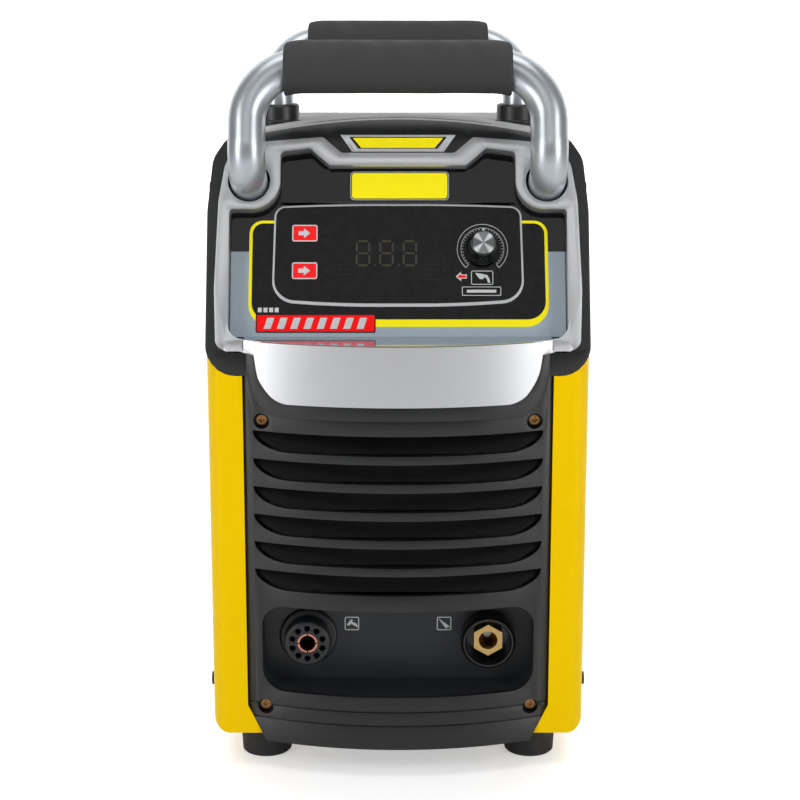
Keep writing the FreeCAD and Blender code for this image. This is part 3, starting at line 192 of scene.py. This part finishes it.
# ------------------------------------------------------------------------------ feet
# Four tapered feet of moulded black rubber, screwed up into the base pan.  Rubber from a
# plain steel mould is matt, with a dusty bloom.
foot_rubber = surface("moulded_rubber", ("1B1B1D", "262628"), (0.55, 0.75), 8, 0.9, 0.03)
coat(foot_rubber, "rubber_feet")


# ---------------------------------------------------------------------- front column
# The lower front, moulded in black ABS from a spark-eroded tool, which leaves a fine even
# pebble that breaks up the shine.  Its edges have the small radius of a mould.
black_abs = surface("textured_black_abs", ("0F1011", "161718"), (0.34, 0.46), 40, 0.7, 0.035)
socket(black_abs, "Specular IOR Level", 0.55)


def soft_edged(name, source, radius, material, sharp=35):
    """A copy of a CAD piece with a radius in mm on its sharp edges, which stands in for it."""
    mesh = bmesh.new()
    mesh.from_mesh(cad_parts[source].data)
    bmesh.ops.remove_doubles(mesh, verts=mesh.verts, dist=0.003 * MM)
    bmesh.ops.dissolve_limit(mesh, angle_limit=math.radians(0.6), verts=mesh.verts, edges=mesh.edges)
    edges = [edge for edge in mesh.edges if len(edge.link_faces) == 2
             and edge.calc_face_angle(0) > math.radians(sharp)]
    bmesh.ops.bevel(mesh, geom=edges, offset=radius * MM, affect="EDGES", segments=2, profile=0.5,
                    material=-1, clamp_overlap=True)
    bmesh.ops.triangulate(mesh, faces=[face for face in mesh.faces if len(face.verts) > 4])
    finish_piece(name, mesh, material, stands_for=source)


def finish_piece(name, mesh, material, body="unit", stands_for=None, crease=40):
    """Makes an object of a finished bmesh, smooth apart from its creases, on its body."""
    data = bpy.data.meshes.new(name)
    mesh.to_mesh(data)
    mesh.free()
    data.materials.clear()
    data.materials.append(material)
    data.shade_smooth()
    data.set_sharp_from_angle(angle=math.radians(crease))
    piece = bpy.data.objects.new(name, data)
    bpy.context.collection.objects.link(piece)
    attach(piece, body)
    if stands_for:
        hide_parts(stands_for)


soft_edged("black_column", "front_column", 0.6, black_abs)

# The vanes behind the louvre slots are matt black, made darker than the column as painted shade, so the slots
# read as deep.
vane_black_painted_shade = surface("matt_black_painted_shade_inside", ("060607", "0A0A0B"), (0.55, 0.7), 30, 0.8, 0.02)
socket(vane_black_painted_shade, "Specular IOR Level", 0.25)
coat(vane_black_painted_shade, "louvre_vanes")


# ------------------------------------------------------------------ connector pocket
# A separate moulding let into the column, in a slate black with a flatter skin.  Its back
# wall lies 17 mm behind the front of the case and holds the two outlets.
pocket_abs = surface("slate_black_abs", ("1A1C20", "22252A"), (0.38, 0.5), 40, 0.6, 0.02)
coat(pocket_abs, "connector_tray")
tray_wall = front + 17 * MM
on_tray = Matrix(((1, 0, 0, 0), (0, 0, -1, tray_wall), (0, 1, 0, 0), (0, 0, 0, 1)))

# The work socket: a glass-filled nylon body round a turned copper contact that has dulled
# a little.  The ten blind holes key the plug.
black_nylon = surface("glass_filled_nylon", ("141517", "222427"), (0.32, 0.5), 6, 0.4, 0.02)
soft_edged("work_socket_shell", "work_socket_body", 0.5, black_nylon)
turned_copper = surface("turned_copper", ("D08468", "F0B090"), (0.18, 0.34), 3, 0.5, 0.008, 1.0, (1, 8, 1))
coat(turned_copper, "work_socket_contact")

# The torch outlet: a polished phenolic cup, a bright brass hexagon and the pin in its bore.
phenolic = surface("polished_phenolic", ("08090A", "0E0F10"), (0.10, 0.2), 10, 1.0, 0.004)
coat(phenolic, "torch_bushing")
turned_brass = surface("turned_brass", ("C29C58", "D6B680"), (0.18, 0.32), 4, 0.5, 0.008, 1.0, (1, 8, 1))
coat(turned_brass, "torch_connector", "earth_stud", "air_inlet")


def lathe(profile, steps=72):
    """A closed turned body from its (radius, height) corners in mm, on the local Z axis."""
    mesh = bmesh.new()
    points = [mesh.verts.new((radius * MM, 0, height * MM)) for radius, height in profile]
    runs = [mesh.edges.new(pair) for pair in zip(points, points[1:])]
    if profile[0][0] and profile[-1][0]:
        runs.append(mesh.edges.new((points[-1], points[0])))
    bmesh.ops.spin(mesh, geom=points + runs, cent=(0, 0, 0), axis=(0, 0, 1), angle=math.tau,
                   steps=steps, use_merge=True)
    bmesh.ops.remove_doubles(mesh, verts=mesh.verts, dist=0.001 * MM)
    bmesh.ops.recalc_face_normals(mesh, faces=mesh.faces)
    return mesh


pin_steel = surface("nickel_plated_pin", ("8E9284", "A9AC9C"), (0.2, 0.32), 2, 0.4, 0.006, 1.0)
pin = lathe([(0, -22), (3, -22), (3, -4.9), (2.5, -4.3), (0, -4.3)], 32)
outlet = sum(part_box("torch_connector"), Vector()) / 2
bmesh.ops.transform(pin, verts=pin.verts, matrix=on_tray @ Matrix.Translation((outlet.x, outlet.z, 0)))
finish_piece("torch_pin_tip", pin, pin_steel)

# Four recessed cross-head screws in yellow zinc, which shows a bronze and pink bloom.
yellow_zinc = surface("yellow_zinc_plate", ("8A5E34", "B58A60"), (0.25, 0.4), 2, 0.4, 0.01, 1.0)
soft_edged("column_screw_heads", "column_screws", 0.35, yellow_zinc, sharp=50)


# -------------------------------------------------------------------- leaning hood
# The hood, the lid and the rear panel are large mouldings of the column's black ABS, with
# an edge radius of a millimetre.  The hood holds the silver frame round the controls.
soft_edged("black_hood", "head_bezel", 1.0, black_abs)
soft_edged("black_lid", "top_cover", 1.0, black_abs)
soft_edged("black_back", "rear_panel", 1.0, black_abs)

# The silver frame is ABS sprayed with a metallic lacquer under a clear coat, so it shines
# softly and shows almost no grain.
silver_lacquer = surface("silver_metallic_lacquer", ("CACBCD", "D2D3D5"), (0.28, 0.36), 50, 0.5, 0.003, 0.7)
socket(silver_lacquer, "Coat Weight", 0.3)
socket(silver_lacquer, "Coat Roughness", 0.15)
soft_edged("silver_frame", "head_frame", 0.9, silver_lacquer)
soft_edged("silver_badge_tray", "top_badge_frame", 0.4, silver_lacquer)

bow_centre = 207


def bow(x, bulge):
    """The depth at x, in mm, of a face bowed round the bow's centre, from its bulge at the middle."""
    return bow_centre - math.sqrt((bow_centre + bulge) ** 2 - x * x)


def mirrored(half):
    """A whole outline from its right half, whose corners are (x, height, corner size)."""
    return [(-x, height, size) for x, height, size in reversed(half)] + half


def thicken(mesh, shift):
    """Gives a sheet its thickness: a copy of it, moved by a shift in mm, and the walls between."""
    raised = bmesh.ops.extrude_face_region(mesh, geom=list(mesh.faces))
    corners = [item for item in raised["geom"] if isinstance(item, bmesh.types.BMVert)]
    bmesh.ops.translate(mesh, verts=corners, vec=Vector(shift) * MM)
    bmesh.ops.recalc_face_normals(mesh, faces=mesh.faces)


# The bib's face: one bowed skin with a wide sloping border and a softened ridge.
bib_bulge, bib_rise, bib_border, bib_top, bib_thick = 22.05, 2.4, 5.5, 271.5, 1.5
bib = bmesh.new()
outline = mirrored([(72, 235, 6.72), (82.5, 246, 8.4), (86.5, 263, 12.6), (86.5, 285, 0)])
corners = [bib.verts.new((x * MM, -(bib_bulge - bib_rise) * MM, height * MM)) for x, height, _ in outline]
bib.faces.new(corners)
for corner, (_, _, size) in zip(corners, outline):
    if size:
        bmesh.ops.bevel(bib, geom=[corner], offset=size * MM, affect="VERTICES", segments=10,
                        profile=0.5, material=-1)
inner = list(bib.faces)
bmesh.ops.inset_region(bib, faces=inner, thickness=bib_border * MM, use_even_offset=True)
bmesh.ops.translate(bib, verts=inner[0].verts, vec=(0, -bib_rise * MM, 0))
bmesh.ops.bevel(bib, geom=list(inner[0].edges), offset=1.2 * MM, affect="EDGES", segments=4,
                profile=0.5, material=-1)
cuts = [((x * MM, 0, 0), (1, 0, 0), False) for x in range(-84, 85, 3)]
for place, normal, clear in [*cuts, ((0, 0, bib_top * MM), (0, 0, 1), True)]:
    bmesh.ops.bisect_plane(bib, geom=[*bib.verts, *bib.edges, *bib.faces], plane_co=place,
                           plane_no=normal, clear_outer=clear)
for vertex in bib.verts:
    vertex.co.y = front + bow(vertex.co.x / MM, -vertex.co.y / MM) * MM
thicken(bib, (0, bib_thick, 0))
finish_piece("bib_face", bib, silver_lacquer, crease=25)

# The ledge behind the bib carries the same glossy film as the panel.  Its slate blue is a painted reflection
# of the panel's slate field just above it.
slate_reflection_film = surface("slate_blue_painted_reflection_film", ("7C8994", "86939E"), (0.05, 0.1), 50, 4, 0.003)
socket(slate_reflection_film, "Coat Weight", 0.6)
socket(slate_reflection_film, "Coat Roughness", 0.04)
ledge_top, ledge_half, ledge_back, ledge_bulge = 270.55, 92.5, 14.2, 17.4
ledge = bmesh.new()
bmesh.ops.create_grid(ledge, x_segments=60, y_segments=1, size=0.5)
for vertex in ledge.verts:
    x = vertex.co.x * 2 * ledge_half
    depth = ledge_back if vertex.co.y > 0 else bow(x, ledge_bulge)
    vertex.co = Vector((x * MM, front + depth * MM, ledge_top * MM))
thicken(ledge, (0, 0, 0.4))
finish_piece("ledge_film", ledge, slate_reflection_film, crease=20)


# --------------------------------------------------------------------- control panel
# A clear polycarbonate film, screen printed black from behind, over a moulded plate.  It
# lies in the leaning frame, and its smooth face gives sharp reflections.
black_film = surface("black_printed_film", ("050506", "08090A"), (0.04, 0.09), 50, 4, 0.004)
socket(black_film, "Specular IOR Level", 0.3)
coat(black_film, "panel_film", "nameplate_board", "display_module")
coat(black_nylon, "control_panel", "transistor_modules")

# Printed places are (x, up) in mm on the film's outer face, with up measured along its lean.
lean = math.radians(22)
film_foot, film_head = 11.5, 91.8
film_low, film_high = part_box("panel_film")
face_y = film_low.y - film_foot * MM * math.sin(lean)
face_z = film_high.z - film_head * MM * math.cos(lean)
on_face = Matrix(((1, 0, 0, 0),
                  (0, math.sin(lean), -math.cos(lean), face_y),
                  (0, math.cos(lean), math.sin(lean), face_z),
                  (0, 0, 0, 1)))


def ink(name, colour, gloss=0.35):
    """Screen ink: an opaque dried layer with a slightly uneven gloss."""
    layer = surface(name, (colour, colour), (gloss - 0.05, gloss + 0.08), 5, 0.5, 0.002)
    socket(layer, "Specular IOR Level", 0.2)
    return layer


def oblong(left, low, right, high, size=0):
    """An upright rectangle as a printed shape, with its corner size."""
    return [(left, low, size), (left, high, size), (right, high, size), (right, low, size)]


def printed(name, shapes, material, body="unit", lift=0.0, thick=0.06, line=0.0, place=on_face,
            stands_for=None):
    """Flat printed shapes.  Each shape is a list of (x, up, corner size) in mm.

    With a line width, only a line inside the edge is printed."""
    mesh = bmesh.new()
    for shape in shapes:
        corners = [mesh.verts.new((x * MM, up * MM, 0)) for x, up, _ in shape]
        mesh.faces.new(corners)
        for corner, (_, _, size) in zip(corners, shape):
            if size:
                bmesh.ops.bevel(mesh, geom=[corner], offset=size * MM, affect="VERTICES", segments=8,
                                profile=0.5, material=-1)
    if line:
        faces = list(mesh.faces)
        bmesh.ops.inset_individual(mesh, faces=faces, thickness=line * MM, use_even_offset=True)
        bmesh.ops.delete(mesh, geom=faces, context="FACES_ONLY")
    thicken(mesh, (0, 0, thick))
    bmesh.ops.transform(mesh, verts=mesh.verts, matrix=place @ Matrix.Translation((0, 0, lift * MM)))
    finish_piece(name, mesh, material, body, stands_for, crease=20)


silver_ink = ink("silver_ink", "B9BBBD", 0.3)
yellow_ink = ink("yellow_ink", "FFF000")
slate_ink = ink("slate_blue_ink", "9DAAB4", 0.2)
red_ink = ink("red_ink", "FF0004")
pale_ink = ink("pale_grey_ink", "C9CBCC")
black_ink = ink("black_ink", "0A0A0B", 0.2)

# Slate blue runs round the foot of the film, and a yellow line parts it from the black.
field_foot, field_top, field_in, field_out = 9.6, 62.3, 87.5, 101.3
printed("slate_field_left", [oblong(-field_out, field_foot, -field_in, field_top)], slate_ink)
printed("slate_field_right", [oblong(field_in, field_foot, field_out, field_top)], slate_ink)
printed("slate_field_low", [oblong(-field_in, field_foot, field_in, 30)], slate_ink)
printed("yellow_line", [[(-90.5, 15.8, 14), (-90.1, 81.6, 8), (90.7, 81.6, 8), (91.3, 15.8, 14)]],
        yellow_ink, lift=0.06)
printed("black_field", [[(-88.5, 20.4, 10), (-88.2, 79.9, 6.5), (88.8, 79.9, 6.5), (89.4, 20.4, 11)]],
        black_ink, lift=0.10)

# A silver line with bowed long sides frames the controls.
printed("silver_outline", [mirrored([(36, 92, 20), (75, 90.4, 6.5), (76.4, 31.2, 13), (36, 28.2, 20)])],
        silver_ink, lift=0.14)
printed("silver_outline_inside",
        [mirrored([(36, 90.8, 20), (73.9, 89.4, 5.5), (75.2, 33, 12), (36, 30.2, 20)])], black_ink, lift=0.18)

# A plate behind the frame's upper corners closes the room beside the nameplate.
printed("recess_back", [oblong(-78, 92.3, 78, 126)], black_film, lift=-0.9, thick=0.5)

# The window's two lower corners are filled with a moulded radius of ten millimetres.
middle_x, middle_up, round_size, fill_out, fill_low = 92, 16, 10, 103, 2.5
quarter = [math.radians(angle) for angle in range(0, 91, 9)]
for side, name in ((-1, "left"), (1, "right")):
    bend = [(side * (middle_x + round_size * math.sin(angle)), middle_up - round_size * math.cos(angle), 0)
            for angle in quarter]
    fill = [(side * fill_out, middle_up, 0), (side * fill_out, fill_low, 0), (side * middle_x, fill_low, 0)]
    printed(f"frame_corner_{name}", [bend + fill], silver_lacquer, lift=1.6, thick=9.7)

# The red badge has a black edge; pale slanted stripes stand where a maker would put a name.
printed("badge_edge", [oblong(-85.8, 12.2, -13.5, 23.7, 1)], black_ink, lift=0.2)
printed("red_badge", [oblong(-85.1, 12.9, -14.2, 23, 0.6)], red_ink, lift=0.26)
stripes = [[(x, 14.6, 0), (x + 2.2, 21.4, 0), (x + 6.4, 21.4, 0), (x + 4.2, 14.6, 0)]
           for x in range(-81, -20, 8)]
printed("badge_stripes", stripes, pale_ink, lift=0.32)
blocks = [oblong(x, 24.8, x + 2.4, 27.6) for x in (-84.6, -81.2, -77.8, -74.4)]
printed("badge_blocks", blocks, pale_ink, lift=0.2)


# ------------------------------------------------------------------------- buttons
# Two sprung caps of glossy red ABS that stand a little proud of the film, each with a
# printed border and a printed arrow that move with it.
red_abs = surface("gloss_red_abs", ("F00006", "FF0008"), (0.2, 0.3), 8, 0.8, 0.004)
socket(red_abs, "Specular IOR Level", 0.3)
coat(red_abs, "button_upper", "button_lower", "gauge_needle")
cap_face = 0.91


def arrow(tip, neck, tail, up, head, shaft):
    """An arrow along x as a printed shape, with the half widths of its head and its shaft."""
    return [(tip, up, 0), (neck, up + head, 0), (neck, up + shaft, 0), (tail, up + shaft, 0),
            (tail, up - shaft, 0), (neck, up - shaft, 0), (neck, up - head, 0)]


for name, up in (("upper", 73.6), ("lower", 50.3)):
    body = f"{name}_button"
    printed(f"{name}_border", [oblong(-64.2, up - 5.2, -48.8, up + 5.2, 1.5)], pale_ink, body,
            lift=cap_face, line=0.7)
    printed(f"{name}_arrow", [arrow(-53.2, -57, -60.4, up, 3, 1.3)], pale_ink, body, lift=cap_face)


# ------------------------------------------------------------------------- display
# Three seven-segment figures, unlit, behind the smoked film, with a point after each of the
# first two.  Faint triangles and bars beside them are the edges of unlit signs.
def figure(left, low, width, height, bar):
    """The seven bars of one figure, each with pointed ends."""
    middle, high, right = low + height / 2, low + height, left + width
    start, end = left + bar * 0.6, right - bar * 0.6
    half = bar / 2
    bars = [[(start, up, 0), (start + half, up + half, 0), (end - half, up + half, 0), (end, up, 0),
             (end - half, up - half, 0), (start + half, up - half, 0)] for up in (low, middle, high)]
    for start, end in ((low + bar * 0.6, middle - bar * 0.6), (middle + bar * 0.6, high - bar * 0.6)):
        bars += [[(x, start, 0), (x - half, start + half, 0), (x - half, end - half, 0), (x, end, 0),
                  (x + half, end - half, 0), (x + half, start + half, 0)] for x in (left, right)]
    return bars


unlit_ink = ink("unlit_segment", "3B372C", 0.2)
segments = []
for left in (-25, -10.8, 3.4):
    segments += figure(left, 53.8, 7.6, 15, 1.2)
segments += [oblong(x - 0.6, 53.2, x + 0.6, 54.4) for x in (-13.9, 0.3)]
printed("display_segments", segments, unlit_ink, lift=0.22)

faint_ink = ink("faint_mark", "1F1D18", 0.2)
signs = [(-44, up) for up in (75, 69, 50.5, 45)] + [(27.5, up) for up in (57, 51, 45)]
marks = [[(x, up - 1, 0), (x, up + 1, 0), (x + 1.6, up, 0)] for x, up in signs]
marks += [oblong(x, up, x + 9, up + 0.5) for x in (-37, 16) for up in (45, 48, 51, 54)]
printed("display_marks", marks, faint_ink, lift=0.22)


# ------------------------------------------------------------------------ the knob
# A flared skirt of glossy phenolic with eighteen finger flutes, a spun aluminium disc and a
# white pointer.  The scale round it is printed on the film.
knob_x, knob_up, disc_radius = 51.2, 64, 7
flutes, flute_share = 18, 0.06
at_knob = on_face @ Matrix.Translation((knob_x * MM, knob_up * MM, 0))
skirt = lathe([(3.1, 0.3), (10.6, 0.3), (11, 0.9), (10.9, 2.4), (10.3, 4.2), (9.3, 5.6), (8.8, 6.4),
               (8.7, 7.6), (8.35, 15), (8.2, 15.8), (7.8, 16.5), (7.2, 16.8), (7.1, 16.8), (7.1, 15.8),
               (3.1, 15.8)], 144)
for vertex in skirt.verts:
    if 7 * MM < vertex.co.z < 15.4 * MM and vertex.co.xy.length > 8 * MM:
        groove = 0.5 + 0.5 * math.cos(flutes * math.atan2(vertex.co.y, vertex.co.x))
        vertex.co.xy *= 1 - flute_share * groove
bmesh.ops.transform(skirt, verts=skirt.verts, matrix=at_knob)
finish_piece("knob_skirt", skirt, phenolic, "knob", "current_knob")

# The disc's turning marks run round it and stretch the highlights across them.  Its tone
# carries four painted highlights: bright wedges round the disc, with dark grey between them.
spun_aluminium = surface("spun_aluminium", ("77797B", "F4F5F6"), (0.30, 0.36), 1, 0.4, 0.0002, 1.0)
socket(spun_aluminium, "Anisotropic", 0.9)
around = add(spun_aluminium, "ShaderNodeTangent", direction_type="UV_MAP", uv_map="turning")
turn = add(spun_aluminium, "ShaderNodeUVMap", uv_map="turning").outputs["UV"]
turn = add(spun_aluminium, "ShaderNodeSeparateXYZ", {"Vector": turn}).outputs["X"]
phase = add(spun_aluminium, "ShaderNodeMath", {0: turn, 1: 4 * math.tau, 2: -math.pi / 2},
            operation="MULTIPLY_ADD").outputs["Value"]
swing = add(spun_aluminium, "ShaderNodeMath", {0: phase}, operation="SINE").outputs["Value"]
# Painted highlight: the sine of the turn lays four bright wedges into the disc's tone.
painted_highlight_wedge = add(spun_aluminium, "ShaderNodeMapRange", {"Value": swing, "From Min": 0.0, "From Max": 1.0})
tree = spun_aluminium.node_tree
tree.links.new(around.outputs["Tangent"], tree.nodes["Principled BSDF"].inputs["Tangent"])
tree.links.new(painted_highlight_wedge.outputs["Result"], tree.nodes["tone"].inputs[0])

disc = lathe([(0, 15.8), (disc_radius, 15.8), (disc_radius, 16.9), (6.5, 17.35), (5, 17.35), (2.5, 17.35),
              (0, 17.35)], 96)
turning = disc.loops.layers.uv.new("turning")
for face in disc.faces:
    middle = face.calc_center_median()
    toward = math.atan2(middle.y, middle.x)
    for corner in face.loops:
        place = corner.vert.co
        angle = math.atan2(place.y, place.x) if place.xy.length > 0.1 * MM else toward
        angle = toward + math.remainder(angle - toward, math.tau)
        corner[turning].uv = (angle / math.tau, place.xy.length / (disc_radius * MM))
bmesh.ops.transform(disc, verts=disc.verts, matrix=at_knob)
finish_piece("knob_disc", disc, spun_aluminium, "knob", "knob_cap")
printed("knob_pointer", [oblong(knob_x - 0.4, knob_up + 7.3, knob_x + 0.4, knob_up + 8.9)], pale_ink, "knob",
        lift=8, thick=8.95)


def arc(inner, outer, start, end):
    """A curved strip round the knob between two radii and two angles, as a printed shape."""
    steps = max(2, round(abs(end - start) / 5))
    angles = [math.radians(start + (end - start) * step / steps) for step in range(steps + 1)]
    outside = [(knob_x + outer * math.cos(angle), knob_up + outer * math.sin(angle), 0) for angle in angles]
    inside = [(knob_x + inner * math.cos(angle), knob_up + inner * math.sin(angle), 0) for angle in angles]
    return outside + inside[::-1]


dial = [arc(15.1, 15.5, -50, 230), arc(12.9, 13.2, -50, 230)]
dial += [arc(13.2, 15.1, angle, angle + 1.6) for angle in (-50, 228.4)]
dial += [arc(11.7, 12.6, angle - 1, angle + 1) for angle in range(-45, 226, 9)]
printed("knob_dial", dial, silver_ink, lift=0.22)

# Below the knob: a red arrow with a pale edge, a torch pictogram in its box, and a bar in a
# label box.
printed("arrow_edge", [arrow(34.9, 38.2, 41.7, 46.9, 3, 1.3)], pale_ink, lift=0.22)
printed("arrow_red", [arrow(36, 37.7, 41.2, 46.9, 1.6, 0.8)], red_ink, lift=0.27)
printed("torch_box", [oblong(44.2, 41.8, 57.6, 50.5, 1.2)], pale_ink, lift=0.22, line=0.45)
torch = [(46.6, 49.2), (50.4, 48.6), (54, 47.8), (55.3, 45.6), (55.8, 43), (54.4, 43), (53.7, 45.4),
         (52.2, 46.6), (51.6, 45.3), (49.6, 45.2), (48.2, 46.8)]
printed("torch_pictogram", [[(x, up, 0) for x, up in torch]], pale_ink, lift=0.22)
printed("label_box", [oblong(38.7, 35, 62.3, 40.6, 0.4)], pale_ink, lift=0.22, line=0.4)
printed("label_bar", [oblong(41.6, 36.9, 59.4, 38.7)], pale_ink, lift=0.22)


# ------------------------------------------------------------------ pocket pictograms
# Printed in pale ink on the pocket's back wall, each in its own box: a work clamp beside the
# work socket and an electrode beside the torch outlet.
sign_up, half_wide, half_tall = 87.8, 4.5, 4.4
clamp = [(-3.2, -0.6), (-0.5, 2.8), (0.7, 2.0), (0.1, 1.0), (2.4, 0.2), (3.7, -1.4), (3.3, -2.6),
         (1.4, -1.2), (-0.5, -0.2), (-1.2, -1), (-2.4, -1.6)]
electrode = [(-3.6, 3.4), (2.9, -1.4), (3.7, -3.1), (2.4, -2.1), (1.5, -3.4), (0.4, -2.4)]
pictograms = (("work", -28.8, clamp), ("torch", 28.8, electrode))
for name, middle, _ in pictograms:
    box = oblong(middle - half_wide, sign_up - half_tall, middle + half_wide, sign_up + half_tall, 1)
    printed(f"{name}_sign_box", [box], pale_ink, line=0.6, place=on_tray)
for name, middle, sign in pictograms:
    printed(f"{name}_sign", [[(middle + x, sign_up + up, 0) for x, up in sign]], pale_ink, place=on_tray)


# -------------------------------------------------------------------- name plates
# A plain yellow enamelled plate with a pale rim and a dark line, and a tapered one set in
# the silver tray on top of the frame.  Neither carries a name.
nameplate_yellow = ink("nameplate_enamel", "FFEE00", 0.25)
for name, grow, lift, finish in (("rim", 0.9, 3.2, silver_ink), ("line", 0.5, 3.3, black_ink)):
    printed(f"nameplate_{name}", [oblong(-28 - grow, 94.4 - grow, 30 + grow, 110.3 + grow, 2.4)], finish,
            lift=lift, thick=0.95)
printed("nameplate_enamel", [oblong(-28, 94.4, 30, 110.3, 2)], nameplate_yellow, lift=3.4, thick=1.0,
        stands_for="nameplate")
printed("badge_line", [[(-23.6, 123.2, 0), (-29.5, 130.1, 0), (29.5, 130.1, 0), (23.6, 123.2, 0)]],
        black_ink, lift=13, thick=0.3)
printed("badge_enamel", [[(-22.2, 123.4, 0.5), (-27.3, 129.6, 0.5), (27.3, 129.6, 0.5), (22.2, 123.4, 0.5)]],
        nameplate_yellow, lift=13.2, thick=0.4)


# ------------------------------------------------------------------------ handles
# Bent steel tube of 22 mm, sprayed with a silver-grey metallic paint, which gives long soft
# highlights.  The front one leans with the head, and the rear one stands in the lid.
silver_tube = surface("silver_grey_tube_paint", ("B0B6BC", "BCC2C7"), (0.26, 0.36), 40, 0.8, 0.004, 0.7)
coat(silver_tube, "front_handle", "rear_handle")

# The grips are sleeves of closed-cell foam: matt, finely pitted and a little uneven.  Near
# their ends they droop with the tube's bend, towards where its legs come from.
grip_foam = surface("closed_cell_foam", ("29292A", "363637"), (0.65, 0.85), 12, 0.9, 0.08)
grip_length, grip_radius, straight_half, bend_radius = 136, 15.8, 56, 34
ring_count = 60
skin = [(grip_radius, 2 + (grip_length - 4) * ring / ring_count) for ring in range(ring_count + 1)]
rounded_end = [(11.3, 0), (14.2, 0), (15.1, 0.4), (15.6, 1.1)]
far_end = [(radius, grip_length - height) for radius, height in reversed(rounded_end)]
sleeve_profile = [*rounded_end, *skin, *far_end]

# The rear handle's legs swing 24 mm back over their last 37 mm of height.
rear_rake = math.atan2(24, 37)
for name, source, rake in (("front_foam", "front_grip", lean), ("rear_foam", "rear_grip", rear_rake)):
    droop = Vector((0, -math.sin(rake), -math.cos(rake)))
    low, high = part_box(source)
    sleeve = lathe(sleeve_profile, 64)
    bmesh.ops.translate(sleeve, verts=sleeve.verts, vec=(0, 0, -grip_length / 2 * MM))
    bmesh.ops.rotate(sleeve, verts=sleeve.verts, matrix=Matrix.Rotation(math.radians(90), 3, "Y"))
    for vertex in sleeve.verts:
        vertex.co.yz *= 1 + 0.012 * noise.noise(vertex.co * 45)
        past = max(0, abs(vertex.co.x) / MM - straight_half)
        vertex.co += droop * (bend_radius - math.sqrt(bend_radius ** 2 - past ** 2)) * MM
    bmesh.ops.translate(sleeve, verts=sleeve.verts, vec=(0, (low.y + high.y) / 2, high.z - grip_radius * MM))
    finish_piece(name, sleeve, grip_foam, stands_for=source)

# Two moulded collars where the rear handle goes through the lid.
low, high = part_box("rear_handle_collars")
foot_radius = 17.1
collars = lathe([(11.3, 0), (foot_radius, 0), (foot_radius, 2), (16.6, 2.5), (15.8, 2.7), (15.6, 3.4),
                 (15.6, 12), (15.2, 13.2), (14.2, 14), (12, 14), (11.3, 13.2)])
bmesh.ops.translate(collars, verts=collars.verts, vec=(low.x + foot_radius * MM, (low.y + high.y) / 2, low.z))
second = bmesh.ops.duplicate(collars, geom=[*collars.verts, *collars.edges, *collars.faces])
second = [item for item in second["geom"] if isinstance(item, bmesh.types.BMVert)]
bmesh.ops.translate(collars, verts=second, vec=(high.x - low.x - 2 * foot_radius * MM, 0, 0))
finish_piece("rear_collars", collars, black_abs, stands_for="rear_handle_collars")


# ----------------------------------------------------------------------- the back
# A fan behind its wire guard, the breaker, the cable gland, the earth stud, and the air
# filter regulator with its gauge.  The fan, lever, gland and knob are moulded in black PBT.
fan_plastic = surface("fan_pbt", ("0E0F10", "161719"), (0.35, 0.5), 20, 0.8, 0.015)
coat(fan_plastic, "fan_frame", "fan_impeller", "power_switch_lever", "cable_gland", "regulator_knob")

# The guard's wires, the gauge's case and the dome screws have a thin satin black oxide.
black_oxide = surface("black_oxide_steel", ("0C0C0D", "1A1A1B"), (0.3, 0.45), 5, 0.6, 0.01, 0.6)
coat(black_oxide, "fan_grille", "gauge_case")
soft_edged("case_screw_heads", "case_screws", 0.7, black_oxide, sharp=60)

# Die cast aluminium has a dull grey skin with a fine grain.
die_cast = surface("die_cast_aluminium", ("8F9396", "A9ADB0"), (0.35, 0.5), 6, 0.9, 0.03, 1.0)
coat(die_cast, "heat_sink")
soft_edged("regulator_casting", "regulator_block", 1.2, die_cast)
soft_edged("breaker_case", "power_switch_body", 0.6, black_nylon)

# The rating plate: brushed aluminium with ruled rows, left empty.
on_back = Matrix(((-1, 0, 0, 0), (0, 0, 1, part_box("rear_panel")[1].y), (0, 1, 0, 0), (0, 0, 0, 1)))
plate_metal = surface("brushed_plate", ("B9BCBF", "CDD0D2"), (0.3, 0.42), 8, 0.5, 0.004, 1.0, (0.1, 1, 1))
printed("rating_plate", [oblong(-45, 300, 45, 335, 2)], plate_metal, thick=0.4, place=on_back)
rule = 0.3
rows = [oblong(-42, up, 42, up + rule) for up in (302.5, 308.5, 314.5, 320.5, 326.5, 332)]
rows += [oblong(x, 302.5, x + rule, 326.5) for x in (-42, -18, 12, 41.7)]
for number, row in enumerate(rows):
    printed(f"plate_row_{number}", [row], black_ink, lift=0.4, place=on_back)

# The filter bowl and the gauge's window are clear moulded polycarbonate.
clear_bowl = surface("clear_polycarbonate", ("DDE8EC", "E8F0F2"), (0.03, 0.08), 20, 2, 0.004)
socket(clear_bowl, "Transmission Weight", 0.9)
socket(clear_bowl, "IOR", 1.58)
coat(clear_bowl, "filter_bowl", "gauge_glass")


# --------------------------------------------------------------------- the inside
# What the case holds: boards with a glossy green solder mask, capacitors in shrunk sleeves,
# and the wound parts, whose iron is dipped in a dark varnish.
board_green = surface("green_solder_mask", ("123F26", "1C5734"), (0.2, 0.35), 6, 0.8, 0.01)
coat(board_green, "control_board", "inverter_board")
shrunk_sleeve = surface("capacitor_sleeve", ("14181F", "1E242D"), (0.2, 0.3), 10, 0.8, 0.006)
coat(shrunk_sleeve, "capacitors")
varnished_iron = surface("varnished_iron", ("2E2B28", "4A443C"), (0.35, 0.5), 4, 0.5, 0.02, 0.5)
coat(varnished_iron, "main_transformer", "output_choke")

# The air goes through a brass valve and a hose of matt blue rubber.
coat(turned_brass, "solenoid_valve")
hose_rubber = surface("air_hose_rubber", ("0F2552", "183468"), (0.4, 0.55), 10, 0.8, 0.02)
coat(hose_rubber, "air_hose")
